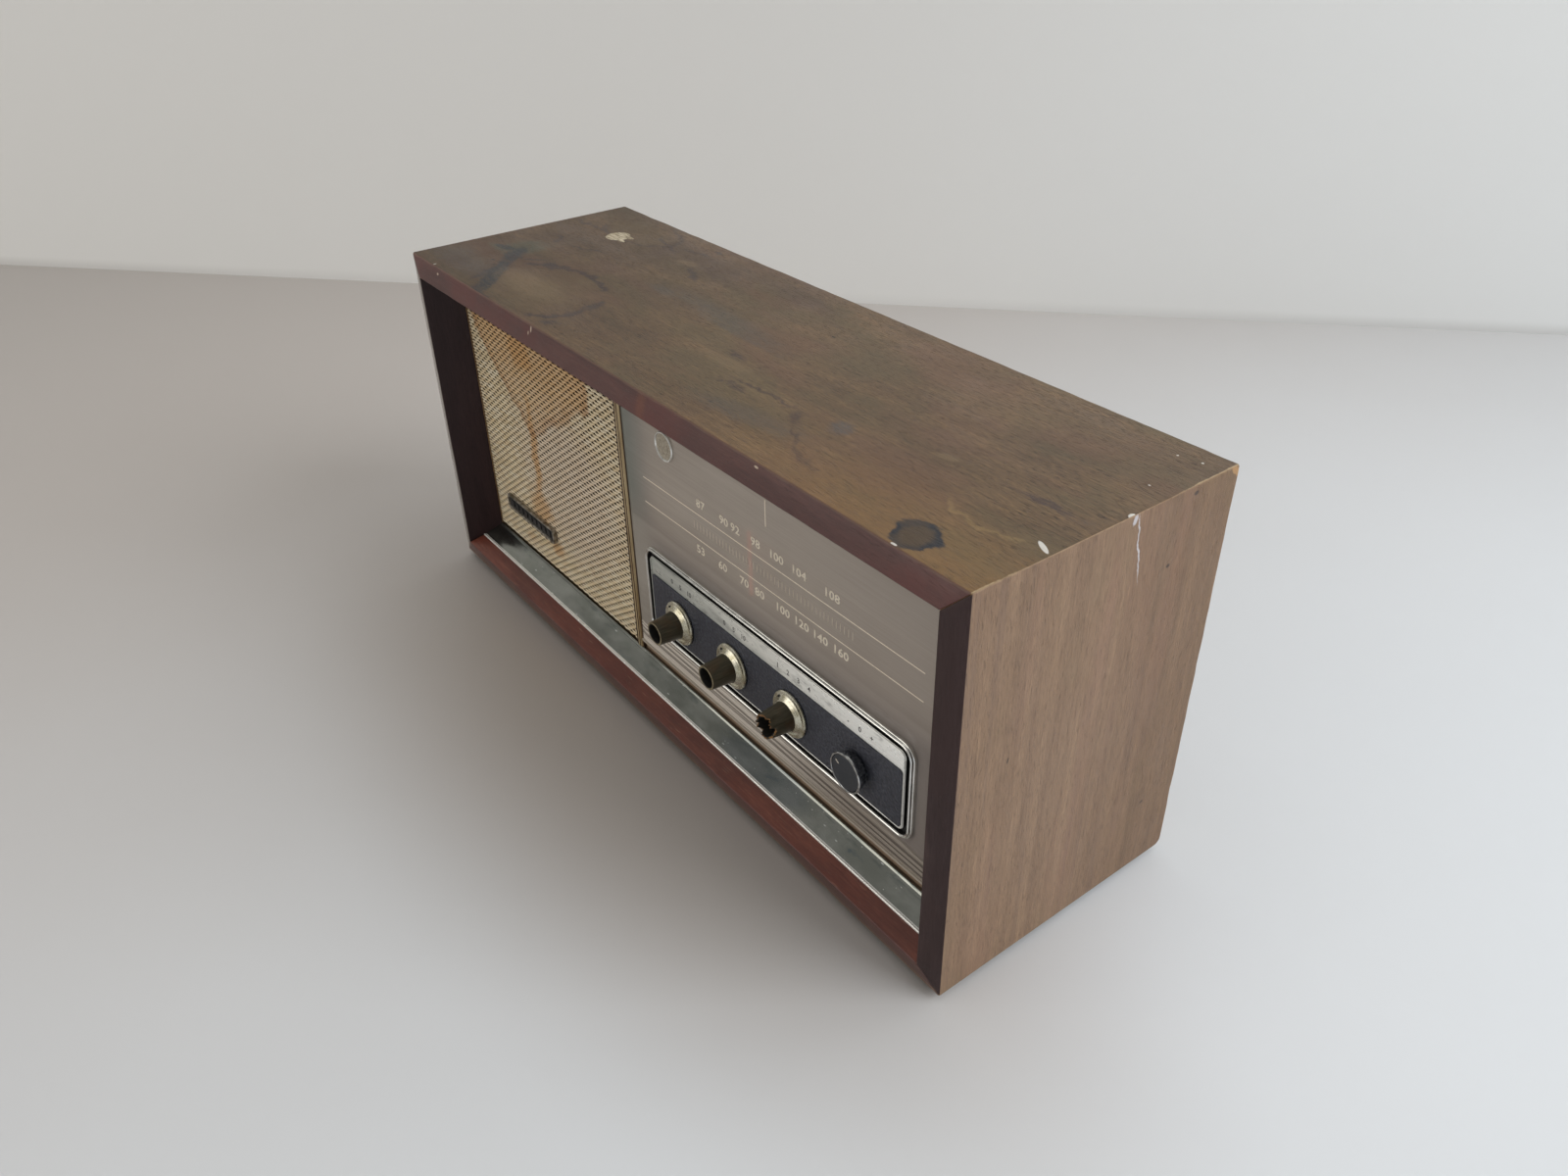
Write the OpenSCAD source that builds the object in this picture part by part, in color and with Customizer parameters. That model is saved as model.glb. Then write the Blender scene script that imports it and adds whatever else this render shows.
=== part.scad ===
// Table radio: a mitred walnut case with a cloth speaker side, a dial panel with four
// turning controls, and a chassis with its tuning drive behind the panel.
// X runs along the width, the front faces -Y, and Z = 0 is the surface under the feet.

/* [Cabinet] */
// Width over the side boards
cabinet_w = 380; // [350:1:460]
// Depth from the ridge of the front edges to the back edges
cabinet_d = 121; // [116:1:150]
// Height of the boards without the feet
cabinet_h = 167.5; // [162:0.5:210]
// Thickness of each board
board_t = 17.8; // [15:0.1:21]
// Distance of the ridge on the front edges from the outer faces
ridge_in = 9.7; // [6:0.1:12]
// How far the outer slope of a front edge falls back from the ridge
ridge_back = 2.4; // [1:0.1:4]
// Depth of the panel and the cloth behind the ridge
recess = 17; // [13:0.5:22]
// Rounding of the lower back edge
back_round = 4.5; // [1:0.5:8]
// Width of the battens glued into the corners
batten = 14; // [10:1:16]
// Diameter of a foot
foot_d = 16; // [10:1:20]
// Height of a foot
foot_h = 3; // [2:0.5:6]
// Distance of a foot's axis from the outer faces
foot_inset = 22; // [16:1:40]

/* [Chrome ledge] */
// Distance of the strip's front edge behind the ridge
ledge_front = 7.4; // [4:0.1:10]
// Thickness of the strip
ledge_t = 0.8; // [0.5:0.1:1.2]
// Height of the strip's rear edge over the bottom board's inner face
ledge_rise = 2.1; // [1:0.1:4]
// Height of the strip's rolled front lip over the wood
ledge_lip = 0.9; // [0.5:0.1:1.5]

/* [Front] */
// Thickness of the baffle board
baffle_t = 4; // [3:0.5:4.5]
// Thickness of the dial panel
panel_t = 1.5; // [1:0.1:2]
// Width of the dial panel
panel_w = 196.3; // [190:0.1:210]
// Height of the panel's lower edge over the bottom board's inner face
panel_lift = 6.4; // [4:0.1:9]
// Width of the strip between the cloth and the panel
divider_w = 5.2; // [3:0.1:8]
// How far that strip stands out in front of the panel
divider_out = 0.7; // [0.2:0.1:1.5]
// Thickness of the speaker cloth
cloth_t = 0.8; // [0.5:0.1:1.2]
// Diameter of the round crest
crest_d = 12.8; // [8:0.2:18]
// Height of the crest over the panel
crest_h = 0.9; // [0.5:0.1:2]
// Length of the badge on the cloth
badge_w = 50; // [36:1:60]
// Height of the badge
badge_h = 8; // [6:0.5:12]
// How far the badge stands out from the cloth
badge_out = 2.6; // [1.5:0.1:4]

/* [Control plate] */
// Width over the raised ring
ring_w = 170.8; // [166:0.1:176]
// Height over the raised ring
ring_h = 44; // [40:0.5:48]
// Outer corner radius of the ring
ring_r = 6.4; // [5:0.1:8]
// Width of the ring's section
ring_s = 2.5; // [1.5:0.1:3]
// How far the ring stands out from the panel
ring_out = 1.7; // [1:0.1:3]
// Width of the groove between the ring and the plate
groove_w = 0.9; // [0.5:0.1:1.5]
// Thickness of the plate
plate_t = 1; // [0.6:0.1:1.5]
// Width of the plate's rim round the inlay
plate_rim = 1.7; // [1:0.1:3]
// Height of the plate's band over the inlay
band_h = 9.3; // [7:0.1:12]
// Thickness of the inlay
inlay_t = 0.5; // [0.3:0.1:0.8]

/* [Controls] */
// Distance between the axes of neighbouring controls
control_pitch = 38.5; // [36:0.5:40]
// Height of the control axes over the bottom board's inner face
control_lift = 37.4; // [35:0.1:40]
// Diameter of the control shafts
shaft_d = 6; // [5:0.1:6.4]
// Running clearance of a shaft in its bushing, on the radius
run_fit = 0.05; // [0.02:0.01:0.1]
// Clearance round parts that turn or only pass, on the radius
pass_fit = 0.5; // [0.3:0.1:1]
// Diameter of a knob flange
flange_d = 20; // [17:0.1:24]
// Height of a knob flange
flange_h = 2.8; // [2:0.1:4]
// Outer diameter of a knob stub at the flange
stub_base_d = 12.6; // [11:0.1:14]
// Outer diameter of a knob stub at its open end
stub_tip_d = 10.5; // [9.6:0.1:12]
// Length of a knob stub from the flange's back
stub_len = 13; // [10:0.5:16]
// Wall of a knob stub at its open end
stub_wall = 1; // [0.8:0.1:1.4]
// Length that the selector's stub has lost
stub_broken = 1; // [0:0.1:2]
// Diameter of the tuning knob's face
knob_d = 16.6; // [14:0.1:20]
// Diameter of the tuning knob at its back
knob_back_d = 13; // [11:0.1:14]
// Depth of the tuning knob
knob_len = 5.2; // [4:0.1:8]

/* [Tuning drive] */
// Travel of the pointer, the length of the printed scale
scale_w = 96.7; // [80:0.1:100]
// Pointer's place on the scale as photographed, from its left end
pointer_at = 33.8; // [5:0.1:75]
// Radius of the cord's path on the tuning shaft
cord_path_r = 3; // [2.8:0.1:3.2]
// Diameter of the dial cord
cord_d = 0.8; // [0.6:0.1:1]
// Clearance between the cord and what turns in it or slides on it
cord_fit = 0.3; // [0.2:0.05:0.4]
// Depth of the cord's plane behind the panel's back
cord_depth = 6.1; // [5.8:0.1:6.6]
// Width of the drum's rim
drum_t = 4; // [3.8:0.1:4.2]
// Diameter of the pointer's rail
rail_d = 2; // [1.5:0.1:2.5]
// Width of the pointer's blade
pointer_w = 1.2; // [0.8:0.1:2]

/* [Chassis] */
// Sheet thickness of the chassis
chassis_t = 1.2; // [0.8:0.1:1.6]
// Width of the chassis
chassis_w = 172; // [166:1:173]
// Distance of the chassis front's upper edge under the top board
chassis_gap = 9.9; // [9:0.1:11]
// Depth of the chassis tray
tray_d = 80; // [70:1:84]
// Height of the studs under the circuit board
stud_h = 7; // [5:0.5:10]
// Thickness of the circuit board
pcb_t = 1.6; // [1.2:0.1:2]
// Outer diameter of the volume and tone controls
pot_d = 24; // [20:0.5:27]
// Side of the tuning gang's case
gang_s = 36; // [30:1:40]
// Diameter of the ferrite rod
rod_d = 10; // [8:0.5:12]
// Length of the ferrite rod
rod_len = 130; // [100:1:150]

/* [Speaker] */
// Outer diameter of the speaker
speaker_d = 104; // [95:1:112]
// Depth of the speaker's frame
speaker_depth = 34; // [30:1:44]
// Diameter of the magnet
magnet_d = 54; // [45:1:60]
// Thickness of the magnet
magnet_t = 15; // [10:1:20]

/* [Back] */
// Thickness of the rear cover
cover_t = 3; // [2:0.5:4]
// How far the cover lies inside the back edges
cover_in = 5; // [4.5:0.5:10]
// Inner diameter of the cord inlet's grommet
inlet_d = 6.5; // [5:0.1:8]
// Thickness of the terminal strip
terminal_t = 3; // [2:0.1:4]

/* [Hidden] */
$fn = 48;
fit = 0.3;
seat_fit = 0.05;
screw_r = 1.5;
pilot_r = screw_r + seat_fit;
screw_hole_r = screw_r + 0.2;
bush_r = 4.5;
front_y = -cabinet_d / 2;
back_y = cabinet_d / 2;
base_z = foot_h;
top_z = foot_h + cabinet_h;
inner_x = cabinet_w / 2 - board_t;
floor_z = base_z + board_t;
roof_z = top_z - board_t;

panel_y = front_y + recess;
panel_back_y = panel_y + panel_t;
baffle_back_y = panel_back_y + baffle_t;
panel_x1 = inner_x - fit;
panel_x0 = panel_x1 - panel_w;
panel_z0 = floor_z + panel_lift;
panel_z1 = roof_z - fit;
divider_x0 = panel_x0 - divider_w;
cloth_x0 = -inner_x + fit;
cloth_x1 = divider_x0 - fit;
cloth_z0 = floor_z + ledge_rise + fit;

// Heights on the panel hang from its top, and the controls stand on its foot
crest_x = panel_x0 + 33.4;
crest_z = roof_z - 13.5;
scale_x0 = panel_x0 + 51.6;
pointer_x = scale_x0 + pointer_at;
pointer_z0 = roof_z - 57;
rail_z = roof_z - 16.5;
cord_z = roof_z - 22.6;

plate_x = panel_x0 + 96.8;
plate_z = floor_z + 42.6;
plate_w = ring_w - 2 * (ring_s + groove_w);
plate_h = ring_h - 2 * (ring_s + groove_w);
plate_r = ring_r - ring_s - groove_w;
inlay_w = plate_w - 2 * plate_rim;
inlay_h = plate_h - plate_rim - band_h;
inlay_z = plate_z + (plate_rim - band_h) / 2;
inlay_r = 1.6;
inlay_y = panel_y - plate_t - inlay_t;

control_x0 = plate_x - 1.5 * control_pitch - 1.45;
control_z = floor_z + control_lift;
function control_x(i) = control_x0 + i * control_pitch;
shaft_r = shaft_d / 2;
flange_y = inlay_y - 0.2;
tip_y = flange_y - stub_len;
knob_y = inlay_y - 0.3;

turn_y = cord_d + 0.1;
plate_back_y = panel_back_y + cord_depth + turn_y + 2.5;
chassis_x0 = plate_x - chassis_w / 2 - 1;
chassis_x1 = chassis_x0 + chassis_w;
chassis_back_y = plate_back_y + chassis_t;
chassis_top = roof_z - chassis_gap;
cord_y = panel_back_y + cord_depth;
drum_path_r = scale_w / PI;
drum_x = (control_x(1) + control_x(2)) / 2;
drum_z = roof_z - 57.7;
drum_rim_r = drum_path_r + 1.2;
guide_path_r = 2.4;
guide_x0 = scale_x0 - 24;
guide_x1 = scale_x0 + scale_w + 24;
guide_z = cord_z - guide_path_r;
idler_x = control_x(2) + 17;
idler_z = drum_z - drum_path_r - guide_path_r;
guides = [[guide_x0, guide_z], [guide_x1, guide_z], [idler_x, idler_z]];
lamp_x = guide_x0 - 16;
lamp_z = rail_z - 8;

cover_y1 = back_y - cover_in;
cover_y0 = cover_y1 - cover_t;
batten_y0 = baffle_back_y;
speaker_x = (-inner_x + divider_x0) / 2;
speaker_z = (floor_z + roof_z) / 2;
speaker_hole_r = speaker_d / 2 - 8;
pcb_z = floor_z + chassis_t + stud_h;
pcb_x0 = chassis_x0 + 5;
pcb_w = chassis_w - 10;
pcb_y0 = chassis_back_y + 22;
pcb_d = tray_d - 25;
transformer_x = speaker_x - 19;
transformer_y = cover_y0 - 26;
inlet_x = transformer_x - 27;
inlet_z = floor_z + 22;
terminal_x = 40;
terminal_z = floor_z + 96;

// Places of the screws: on the bottom board, on the baffle and in the battens
tray_screws = [for (x = [chassis_x0 + 22, chassis_x1 - 22], y = [chassis_back_y + 12,
    plate_back_y + tray_d - 4]) [x, y]];
transformer_screws = [for (s = [-1, 1]) [transformer_x + s * 31, transformer_y]];
speaker_screws = [for (a = [45:90:315]) [speaker_x + (speaker_d / 2 - 3.2) * cos(a),
    speaker_z + (speaker_d / 2 - 3.2) * sin(a)]];
cover_screws = [for (sx = [-1, 1], z = [floor_z + batten / 2, roof_z - batten / 2])
    [sx * (inner_x - batten / 2), z]];

// Turns a shape drawn upward so that it points to the front from depth y
module frontward(x, y, z) {
    translate([x, y, z]) rotate([90, 0, 0]) children();
}

// Turns a shape drawn upward so that it points to the back from depth y
module backward(x, y, z) {
    translate([x, y, z]) rotate([-90, 0, 0]) children();
}

module box(x0, x1, y0, y1, z0, z1) {
    translate([x0, y0, z0]) cube([x1 - x0, y1 - y0, z1 - z0]);
}

module rounded(w, h, r) {
    square([w - 2 * r, h], center = true);
    square([w, h - 2 * r], center = true);
    for (sx = [-1, 1], sz = [-1, 1])
        translate([sx * (w / 2 - r), sz * (h / 2 - r)]) circle(r);
}

// One board with its outer face at Z = 0, its ridge at Y = 0 and mitred ends
module board(length) {
    section = [[ridge_back, 0], [0, ridge_in], [recess, board_t],
        [cabinet_d, board_t], [cabinet_d, 0]];
    outline = [[-length / 2, 0], [length / 2, 0],
        [length / 2 - board_t, board_t], [board_t - length / 2, board_t]];
    intersection() {
        rotate([90, 0, 90])
            linear_extrude(length, center = true) polygon(section);
        translate([0, cabinet_d, 0])
            rotate([90, 0, 0]) linear_extrude(cabinet_d) polygon(outline);
    }
}

// What rounds the lower back edge of the case, from side to side
module back_edge_waste() {
    difference() {
        translate([-cabinet_w / 2 - 1, back_y - back_round, base_z - 1])
            cube([cabinet_w + 2, back_round + 1, back_round + 1]);
        translate([-cabinet_w / 2 - 2, back_y - back_round, base_z + back_round])
            rotate([0, 90, 0]) cylinder(r = back_round, h = cabinet_w + 4);
    }
}

module cabinet_top() {
    color("sienna")
        translate([0, front_y, top_z]) mirror([0, 0, 1]) board(cabinet_w);
}

module cabinet_bottom() {
    color("sienna") difference() {
        translate([0, front_y, base_z]) board(cabinet_w);
        back_edge_waste();
        for (p = concat(tray_screws, transformer_screws))
            translate([p[0], p[1], floor_z - 8]) cylinder(r = pilot_r, h = 9);
    }
}

module side_board() {
    difference() {
        translate([-cabinet_w / 2, front_y, base_z + cabinet_h / 2])
            rotate([0, 90, 0]) board(cabinet_h);
        back_edge_waste();
    }
}

module cabinet_left() {
    color("saddlebrown") side_board();
}

module cabinet_right() {
    color("saddlebrown") mirror([1, 0, 0]) side_board();
}

module corner_battens() {
    color("burlywood") difference() {
        for (sx = [0, 1], z = [floor_z, roof_z - batten]) mirror([sx, 0, 0])
            box(-inner_x, -inner_x + batten, batten_y0, cover_y0, z, z + batten);
        for (p = cover_screws) backward(p[0], cover_y0 - 9, p[1]) cylinder(r = pilot_r, h = 10);
    }
}

module feet() {
    sx = cabinet_w / 2 - foot_inset;
    sy = cabinet_d / 2 - foot_inset;
    color("dimgray") for (x = [-sx, sx], y = [-sy, sy])
        translate([x, y, 0]) rotate_extrude() polygon([[0, 0], [foot_d / 2 - 1, 0],
            [foot_d / 2, 1], [foot_d / 2 - 0.5, foot_h], [0, foot_h]]);
}

// A folded strip on the bottom board's slope, its lip in front and a turned-up rear edge
module chrome_ledge() {
    slope = (board_t - ridge_in) / recess;
    lip_z = ridge_in + slope * ledge_front;
    rear_z = board_t + ledge_rise;
    section = [[ledge_front, lip_z + fit / 3], [ledge_front, lip_z + ledge_lip],
        [recess, rear_z], [recess + ledge_t, rear_z], [recess + ledge_t, board_t],
        [recess, board_t + fit / 3]];
    length = 2 * inner_x + 2 * board_t - 2 * rear_z - 2 * fit;
    front_length = 2 * inner_x + 2 * board_t - 2 * lip_z - 2 * fit;
    outline = [[-front_length / 2, ledge_front], [front_length / 2, ledge_front],
        [inner_x - fit, recess], [inner_x - fit, recess + ledge_t],
        [fit - inner_x, recess + ledge_t], [fit - inner_x, recess]];
    color("silver") intersection() {
        translate([0, front_y, base_z]) rotate([90, 0, 90])
            linear_extrude(cabinet_w, center = true) polygon(section);
        translate([0, front_y, base_z]) linear_extrude(cabinet_h) polygon(outline);
    }
}

module front_baffle() {
    hole_x1 = panel_x1 - 9;
    hole_x0 = panel_x0 + 6;
    color("dimgray") difference() {
        box(fit - inner_x, inner_x - fit, panel_back_y, baffle_back_y, floor_z + fit, roof_z - fit);
        frontward(speaker_x, baffle_back_y + 1, speaker_z)
            cylinder(r = speaker_hole_r, h = baffle_t + 2);
        box(hole_x0, hole_x1, panel_back_y - 1, baffle_back_y + 1, panel_z0 + 8, roof_z - 8);
        for (p = speaker_screws) backward(p[0], baffle_back_y - 3, p[1])
            cylinder(r = pilot_r, h = 4);
    }
}

module grille_cloth() {
    color("wheat") box(cloth_x0, cloth_x1, panel_back_y - cloth_t, panel_back_y,
        cloth_z0, roof_z - fit);
}

// A shallow tray-shaped frame, open to the front round its sunk field
module grille_badge() {
    x = cloth_x0 + 43;
    z = floor_z + 24.5;
    rim = 1.4;
    color("gray") frontward(x, panel_back_y - cloth_t, z) difference() {
        linear_extrude(badge_out) rounded(badge_w, badge_h, 0.8);
        translate([0, 0, badge_out - 1])
            linear_extrude(2) rounded(badge_w - 2 * rim, badge_h - 2 * rim, 0.4);
    }
}

module divider_strip() {
    groove = divider_w / 5;
    h = panel_z1 - cloth_z0;
    color("goldenrod") translate([divider_x0, panel_back_y, cloth_z0]) difference() {
        translate([0, -panel_t - divider_out, 0]) cube([divider_w, panel_t + divider_out, h]);
        translate([0.55 * divider_w, -panel_t - divider_out - 1, -1])
            cube([groove, 1.6, h + 2]);
        translate([-1, -panel_t - divider_out - 1, -1]) cube([1 + divider_w / 4, 2, h + 2]);
    }
}

module dial_panel() {
    hole_r = shaft_r + pass_fit;
    lip = 1.1;
    color("rosybrown") difference() {
        union() {
            box(panel_x0, panel_x1, panel_y, panel_back_y, panel_z0, panel_z1);
            box(panel_x0, panel_x1, panel_y - lip / 2, panel_back_y, panel_z0, panel_z0 + lip);
        }
        for (i = [0:3]) frontward(control_x(i), panel_back_y + 1, control_z)
            cylinder(r = hole_r, h = panel_t + 3);
    }
}

module crest_disc() {
    r = crest_d / 2;
    color("darkkhaki") frontward(crest_x, panel_y, crest_z) rotate_extrude()
        polygon([[0, 0], [r, 0], [r - 0.3, crest_h], [r - 1.3, crest_h],
            [r - 1.6, crest_h / 2], [0, crest_h / 2]]);
}

// A closed frame that follows a rounded rectangle, with the given section on its inside
module bead_frame(w, h, r, section) {
    sx = w / 2 - r;
    sz = h / 2 - r;
    for (a = [0:3]) rotate([0, 0, 90 * a]) {
        half = a % 2 == 0 ? sx : sz;
        other = a % 2 == 0 ? sz : sx;
        translate([half, other, 0]) rotate_extrude(angle = 90)
            polygon([for (p = section) [r - p[0], p[1]]]);
        translate([half, 0, 0]) rotate([90, 0, 0]) linear_extrude(2 * other, center = true)
            polygon([for (p = section) [r - p[0], p[1]]]);
    }
}

module bezel_ring() {
    section = [[0, 0], [0, ring_out * 0.45], [ring_s * 0.3, ring_out], [ring_s * 0.7, ring_out],
        [ring_s, ring_out * 0.6], [ring_s, 0]];
    color("silver") frontward(plate_x, panel_y, plate_z)
        bead_frame(ring_w, ring_h, ring_r, section);
}

module control_plate() {
    color("lightgray") difference() {
        union() {
            frontward(plate_x, panel_y, plate_z)
                linear_extrude(plate_t) rounded(plate_w, plate_h, plate_r);
            frontward(plate_x, panel_y - plate_t, plate_z) difference() {
                linear_extrude(inlay_t) rounded(plate_w, plate_h, plate_r);
                translate([0, inlay_z - plate_z, -1]) linear_extrude(3)
                    rounded(inlay_w + 0.1, inlay_h + 0.1, inlay_r);
            }
        }
        for (i = [0:3]) frontward(control_x(i), panel_y + 1, control_z)
            cylinder(r = shaft_r + pass_fit, h = 4);
    }
}

module leather_inlay() {
    color("darkslategray") difference() {
        frontward(plate_x, panel_y - plate_t, inlay_z)
            linear_extrude(inlay_t) rounded(inlay_w, inlay_h, inlay_r);
        for (i = [0:3]) frontward(control_x(i), panel_y, control_z)
            cylinder(r = shaft_r + pass_fit, h = 4);
    }
}

// Tapered tube, bored for its shaft at the back and open in front
module stub(i, lost) {
    tip_r = stub_tip_d / 2;
    bore_end = 0.4 * stub_len;
    color("darkolivegreen") difference() {
        frontward(control_x(i), flange_y, control_z) rotate_extrude() polygon([
            [shaft_r, 1.2], [shaft_r, bore_end], [tip_r - stub_wall, bore_end + 0.8],
            [tip_r - stub_wall, stub_len - lost], [tip_r, stub_len - lost],
            [stub_base_d / 2, 1.2]]);
        if (lost > 0) for (a = [20, 95, 170, 290])
            frontward(control_x(i), tip_y + lost, control_z) rotate([0, 0, a])
                translate([tip_r - stub_wall / 2, 0, 0]) rotate([0, 0, 30]) rotate([0, 35, 0])
                    cube([2.4, 2.2, 2], center = true);
    }
}

// Spun cup with a rolled rim and a domed shoulder round the stub
module flange(i) {
    r = flange_d / 2;
    c = stub_base_d / 2;
    color("tan") difference() {
        frontward(control_x(i), flange_y, control_z) rotate_extrude() polygon([
            [shaft_r, 0], [r - 0.4, 0], [r, 0.4], [r, 0.9], [r - 0.5, 1.3], [r - 1.3, 1.2],
            [r - 2, 1.7], [r - 2.7, 2.3], [c + 0.4, flange_h], [c, flange_h], [c, 1.2],
            [shaft_r, 1.2]]);
        frontward(control_x(i) - 0.5 * r, flange_y + 1, control_z + 0.62 * r)
            cylinder(r = 0.5, h = 4);
    }
}

// Round shaft from inside its control to inside its knob
module shaft(i, y0, y1) {
    color("silver") frontward(control_x(i), y1, control_z) cylinder(r = shaft_r, h = y1 - y0);
}

module volume_stub() {
    stub(0, 0);
}
module volume_flange() {
    flange(0);
}
module volume_shaft() {
    shaft(0, flange_y - 0.4 * stub_len, chassis_back_y + 6);
}
module tone_stub() {
    stub(1, 0);
}
module tone_flange() {
    flange(1);
}
module tone_shaft() {
    shaft(1, flange_y - 0.4 * stub_len, chassis_back_y + 6);
}
module selector_stub() {
    stub(2, stub_broken);
}
module selector_flange() {
    flange(2);
}
module selector_shaft() {
    shaft(2, flange_y - 0.4 * stub_len, chassis_back_y + 6);
}

// Black disc set in the front of the tuning knob
module tuning_cap() {
    r = knob_d / 2 - 0.9;
    color("black") frontward(control_x(3), knob_y - knob_len + 0.9, control_z)
        rotate_extrude() polygon([[0, 0], [r, 0], [r, 0.6], [r - 0.3, 0.8], [0, 0.8]]);
}

module tuning_knob() {
    flutes = 30;
    r = knob_d / 2;
    b = knob_back_d / 2;
    color("gainsboro") difference() {
        frontward(control_x(3), knob_y, control_z) rotate_extrude() polygon([
            [shaft_r, 0], [b, 0], [b + 0.3, 0.4], [r - 0.5, knob_len - 1.6], [r, knob_len - 1.2],
            [r, knob_len - 0.3], [r - 0.3, knob_len], [r - 0.9, knob_len],
            [r - 0.9, knob_len - 0.9], [shaft_r, knob_len - 0.9]]);
        for (a = [0:flutes - 1]) frontward(control_x(3), knob_y, control_z)
            rotate([0, 0, a * 360 / flutes]) translate([b + 0.85, 0, 0.5]) rotate([0, 24, 0])
                cylinder(r = 0.3, h = knob_len - 2.1);
    }
}

// Tuning shaft with the neck that the dial cord winds on
module tuning_shaft() {
    neck_r = cord_path_r - cord_d / 2 - cord_fit;
    side = cord_d / 2 + 2 * cord_fit;
    neck_y0 = cord_y - side;
    neck_y1 = cord_y + turn_y + side;
    y1 = chassis_back_y + 14;
    color("silver") frontward(control_x(3), y1, control_z) {
        cylinder(r = shaft_r, h = y1 - neck_y1);
        cylinder(r = neck_r, h = y1 - neck_y0);
        translate([0, 0, y1 - neck_y0]) cylinder(r = shaft_r, h = neck_y0 - knob_y + knob_len - 1);
    }
}

module shaft_bore(i) {
    frontward(control_x(i), chassis_back_y + 6 + fit, control_z)
        cylinder(r = shaft_r + run_fit, h = 14);
}

// Can of a turning control, its bushing pushed through the chassis from behind
module pot_body(i, depth, r) {
    difference() {
        union() {
            backward(control_x(i), chassis_back_y, control_z) cylinder(r = r, h = depth);
            frontward(control_x(i), chassis_back_y, control_z)
                cylinder(r = bush_r, h = chassis_t + 3.6);
        }
        shaft_bore(i);
    }
}

module lugs(i, r, n, depth) {
    for (k = [0:n - 1]) translate([control_x(i) + (k - (n - 1) / 2) * 5 - 1,
        chassis_back_y + depth / 2, control_z - r - 6]) cube([2, 0.8, 7]);
}

module volume_pot() {
    color("darkgray") {
        pot_body(0, 11, pot_d / 2);
        backward(control_x(0), chassis_back_y + 11, control_z) cylinder(r = pot_d / 2 - 1.5, h = 8);
        lugs(0, pot_d / 2, 3, 5);
    }
}

module tone_pot() {
    color("darkgray") {
        pot_body(1, 11, pot_d / 2);
        lugs(1, pot_d / 2, 3, 5);
    }
}

// Rotary switch: front plate, two spacers and a wafer
module selector_switch() {
    w = 30;
    gap = 9;
    color("khaki") {
        pot_body(2, 7.5, 9);
        difference() {
            translate([control_x(2) - w / 2, chassis_back_y, control_z - 6]) cube([w, 1, 12]);
            shaft_bore(2);
        }
        for (s = [-1, 1]) backward(control_x(2) + s * (w / 2 - 3), chassis_back_y, control_z)
            cylinder(r = 2, h = gap);
        backward(control_x(2), chassis_back_y + 7.5, control_z) cylinder(r = 15, h = 1.5);
    }
}

module tuning_bushing() {
    color("goldenrod") difference() {
        union() {
            backward(control_x(3), chassis_back_y, control_z) cylinder(r = 7, h = 2);
            backward(control_x(3), chassis_back_y, control_z) cylinder(r = 5, h = 11);
        }
        backward(control_x(3), plate_back_y - 1, control_z)
            cylinder(r = shaft_r + run_fit, h = 20);
    }
}

module control_nuts() {
    color("silver") for (i = [0:2]) frontward(control_x(i), plate_back_y, control_z) difference() {
        cylinder(r = 7, h = 2, $fn = 6);
        translate([0, 0, -1]) cylinder(r = bush_r + seat_fit, h = 4);
    }
}

// Folded steel sheet: a front plate with holes and a tray with studs on the bottom board
module chassis() {
    color("lightsteelblue") difference() {
        union() {
            box(chassis_x0, chassis_x1, plate_back_y, chassis_back_y, floor_z, chassis_top);
            box(chassis_x0, chassis_x1, plate_back_y, plate_back_y + tray_d,
                floor_z, floor_z + chassis_t);
            box(chassis_x0, chassis_x1, plate_back_y, plate_back_y + 10,
                chassis_top - chassis_t, chassis_top);
            for (x = [pcb_x0 + 5, pcb_x0 + pcb_w - 5], y = [pcb_y0 + 5, pcb_y0 + pcb_d - 5])
                translate([x, y, floor_z]) cylinder(r = 2.5, h = chassis_t + stud_h);
        }
        for (i = [0:2]) backward(control_x(i), plate_back_y - 1, control_z)
            cylinder(r = bush_r + seat_fit, h = chassis_t + 2);
        backward(control_x(3), plate_back_y - 1, control_z)
            cylinder(r = shaft_r + pass_fit, h = chassis_t + 2);
        backward(drum_x, plate_back_y - 1, drum_z)
            cylinder(r = shaft_r + pass_fit, h = chassis_t + 2);
        for (p = tray_screws) translate([p[0], p[1], floor_z - 1])
            cylinder(r = screw_hole_r, h = 4);
    }
}

// Pan-headed screw drawn upward, its head's underside at Z = 0
module screw(length, r, head_r) {
    rotate_extrude() polygon([[0, -length], [r / 2, -length + r], [r, -length + 3 * r], [r, 0],
        [head_r, 0], [head_r, 0.8], [head_r - 0.6, 1.5], [0, 1.8]]);
}

module fixing_screws() {
    color("silver") {
        for (p = tray_screws) translate([p[0], p[1], floor_z + chassis_t]) screw(8, screw_r, 3);
        for (p = transformer_screws) translate([p[0], p[1], floor_z + 1.5]) screw(8, screw_r, 3);
        for (p = speaker_screws) backward(p[0], baffle_back_y + 1.2, p[1]) screw(4, screw_r, 2.4);
        for (p = cover_screws) backward(p[0], cover_y1, p[1]) screw(cover_t + 8, screw_r, 3);
    }
}

module circuit_board() {
    color("peru") box(pcb_x0, pcb_x0 + pcb_w, pcb_y0, pcb_y0 + pcb_d, pcb_z, pcb_z + pcb_t);
}

// Places along the board, as parts of its width and depth
function on_board(u, v) = [pcb_x0 + u * pcb_w, pcb_y0 + v * pcb_d, pcb_z + pcb_t];

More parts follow.
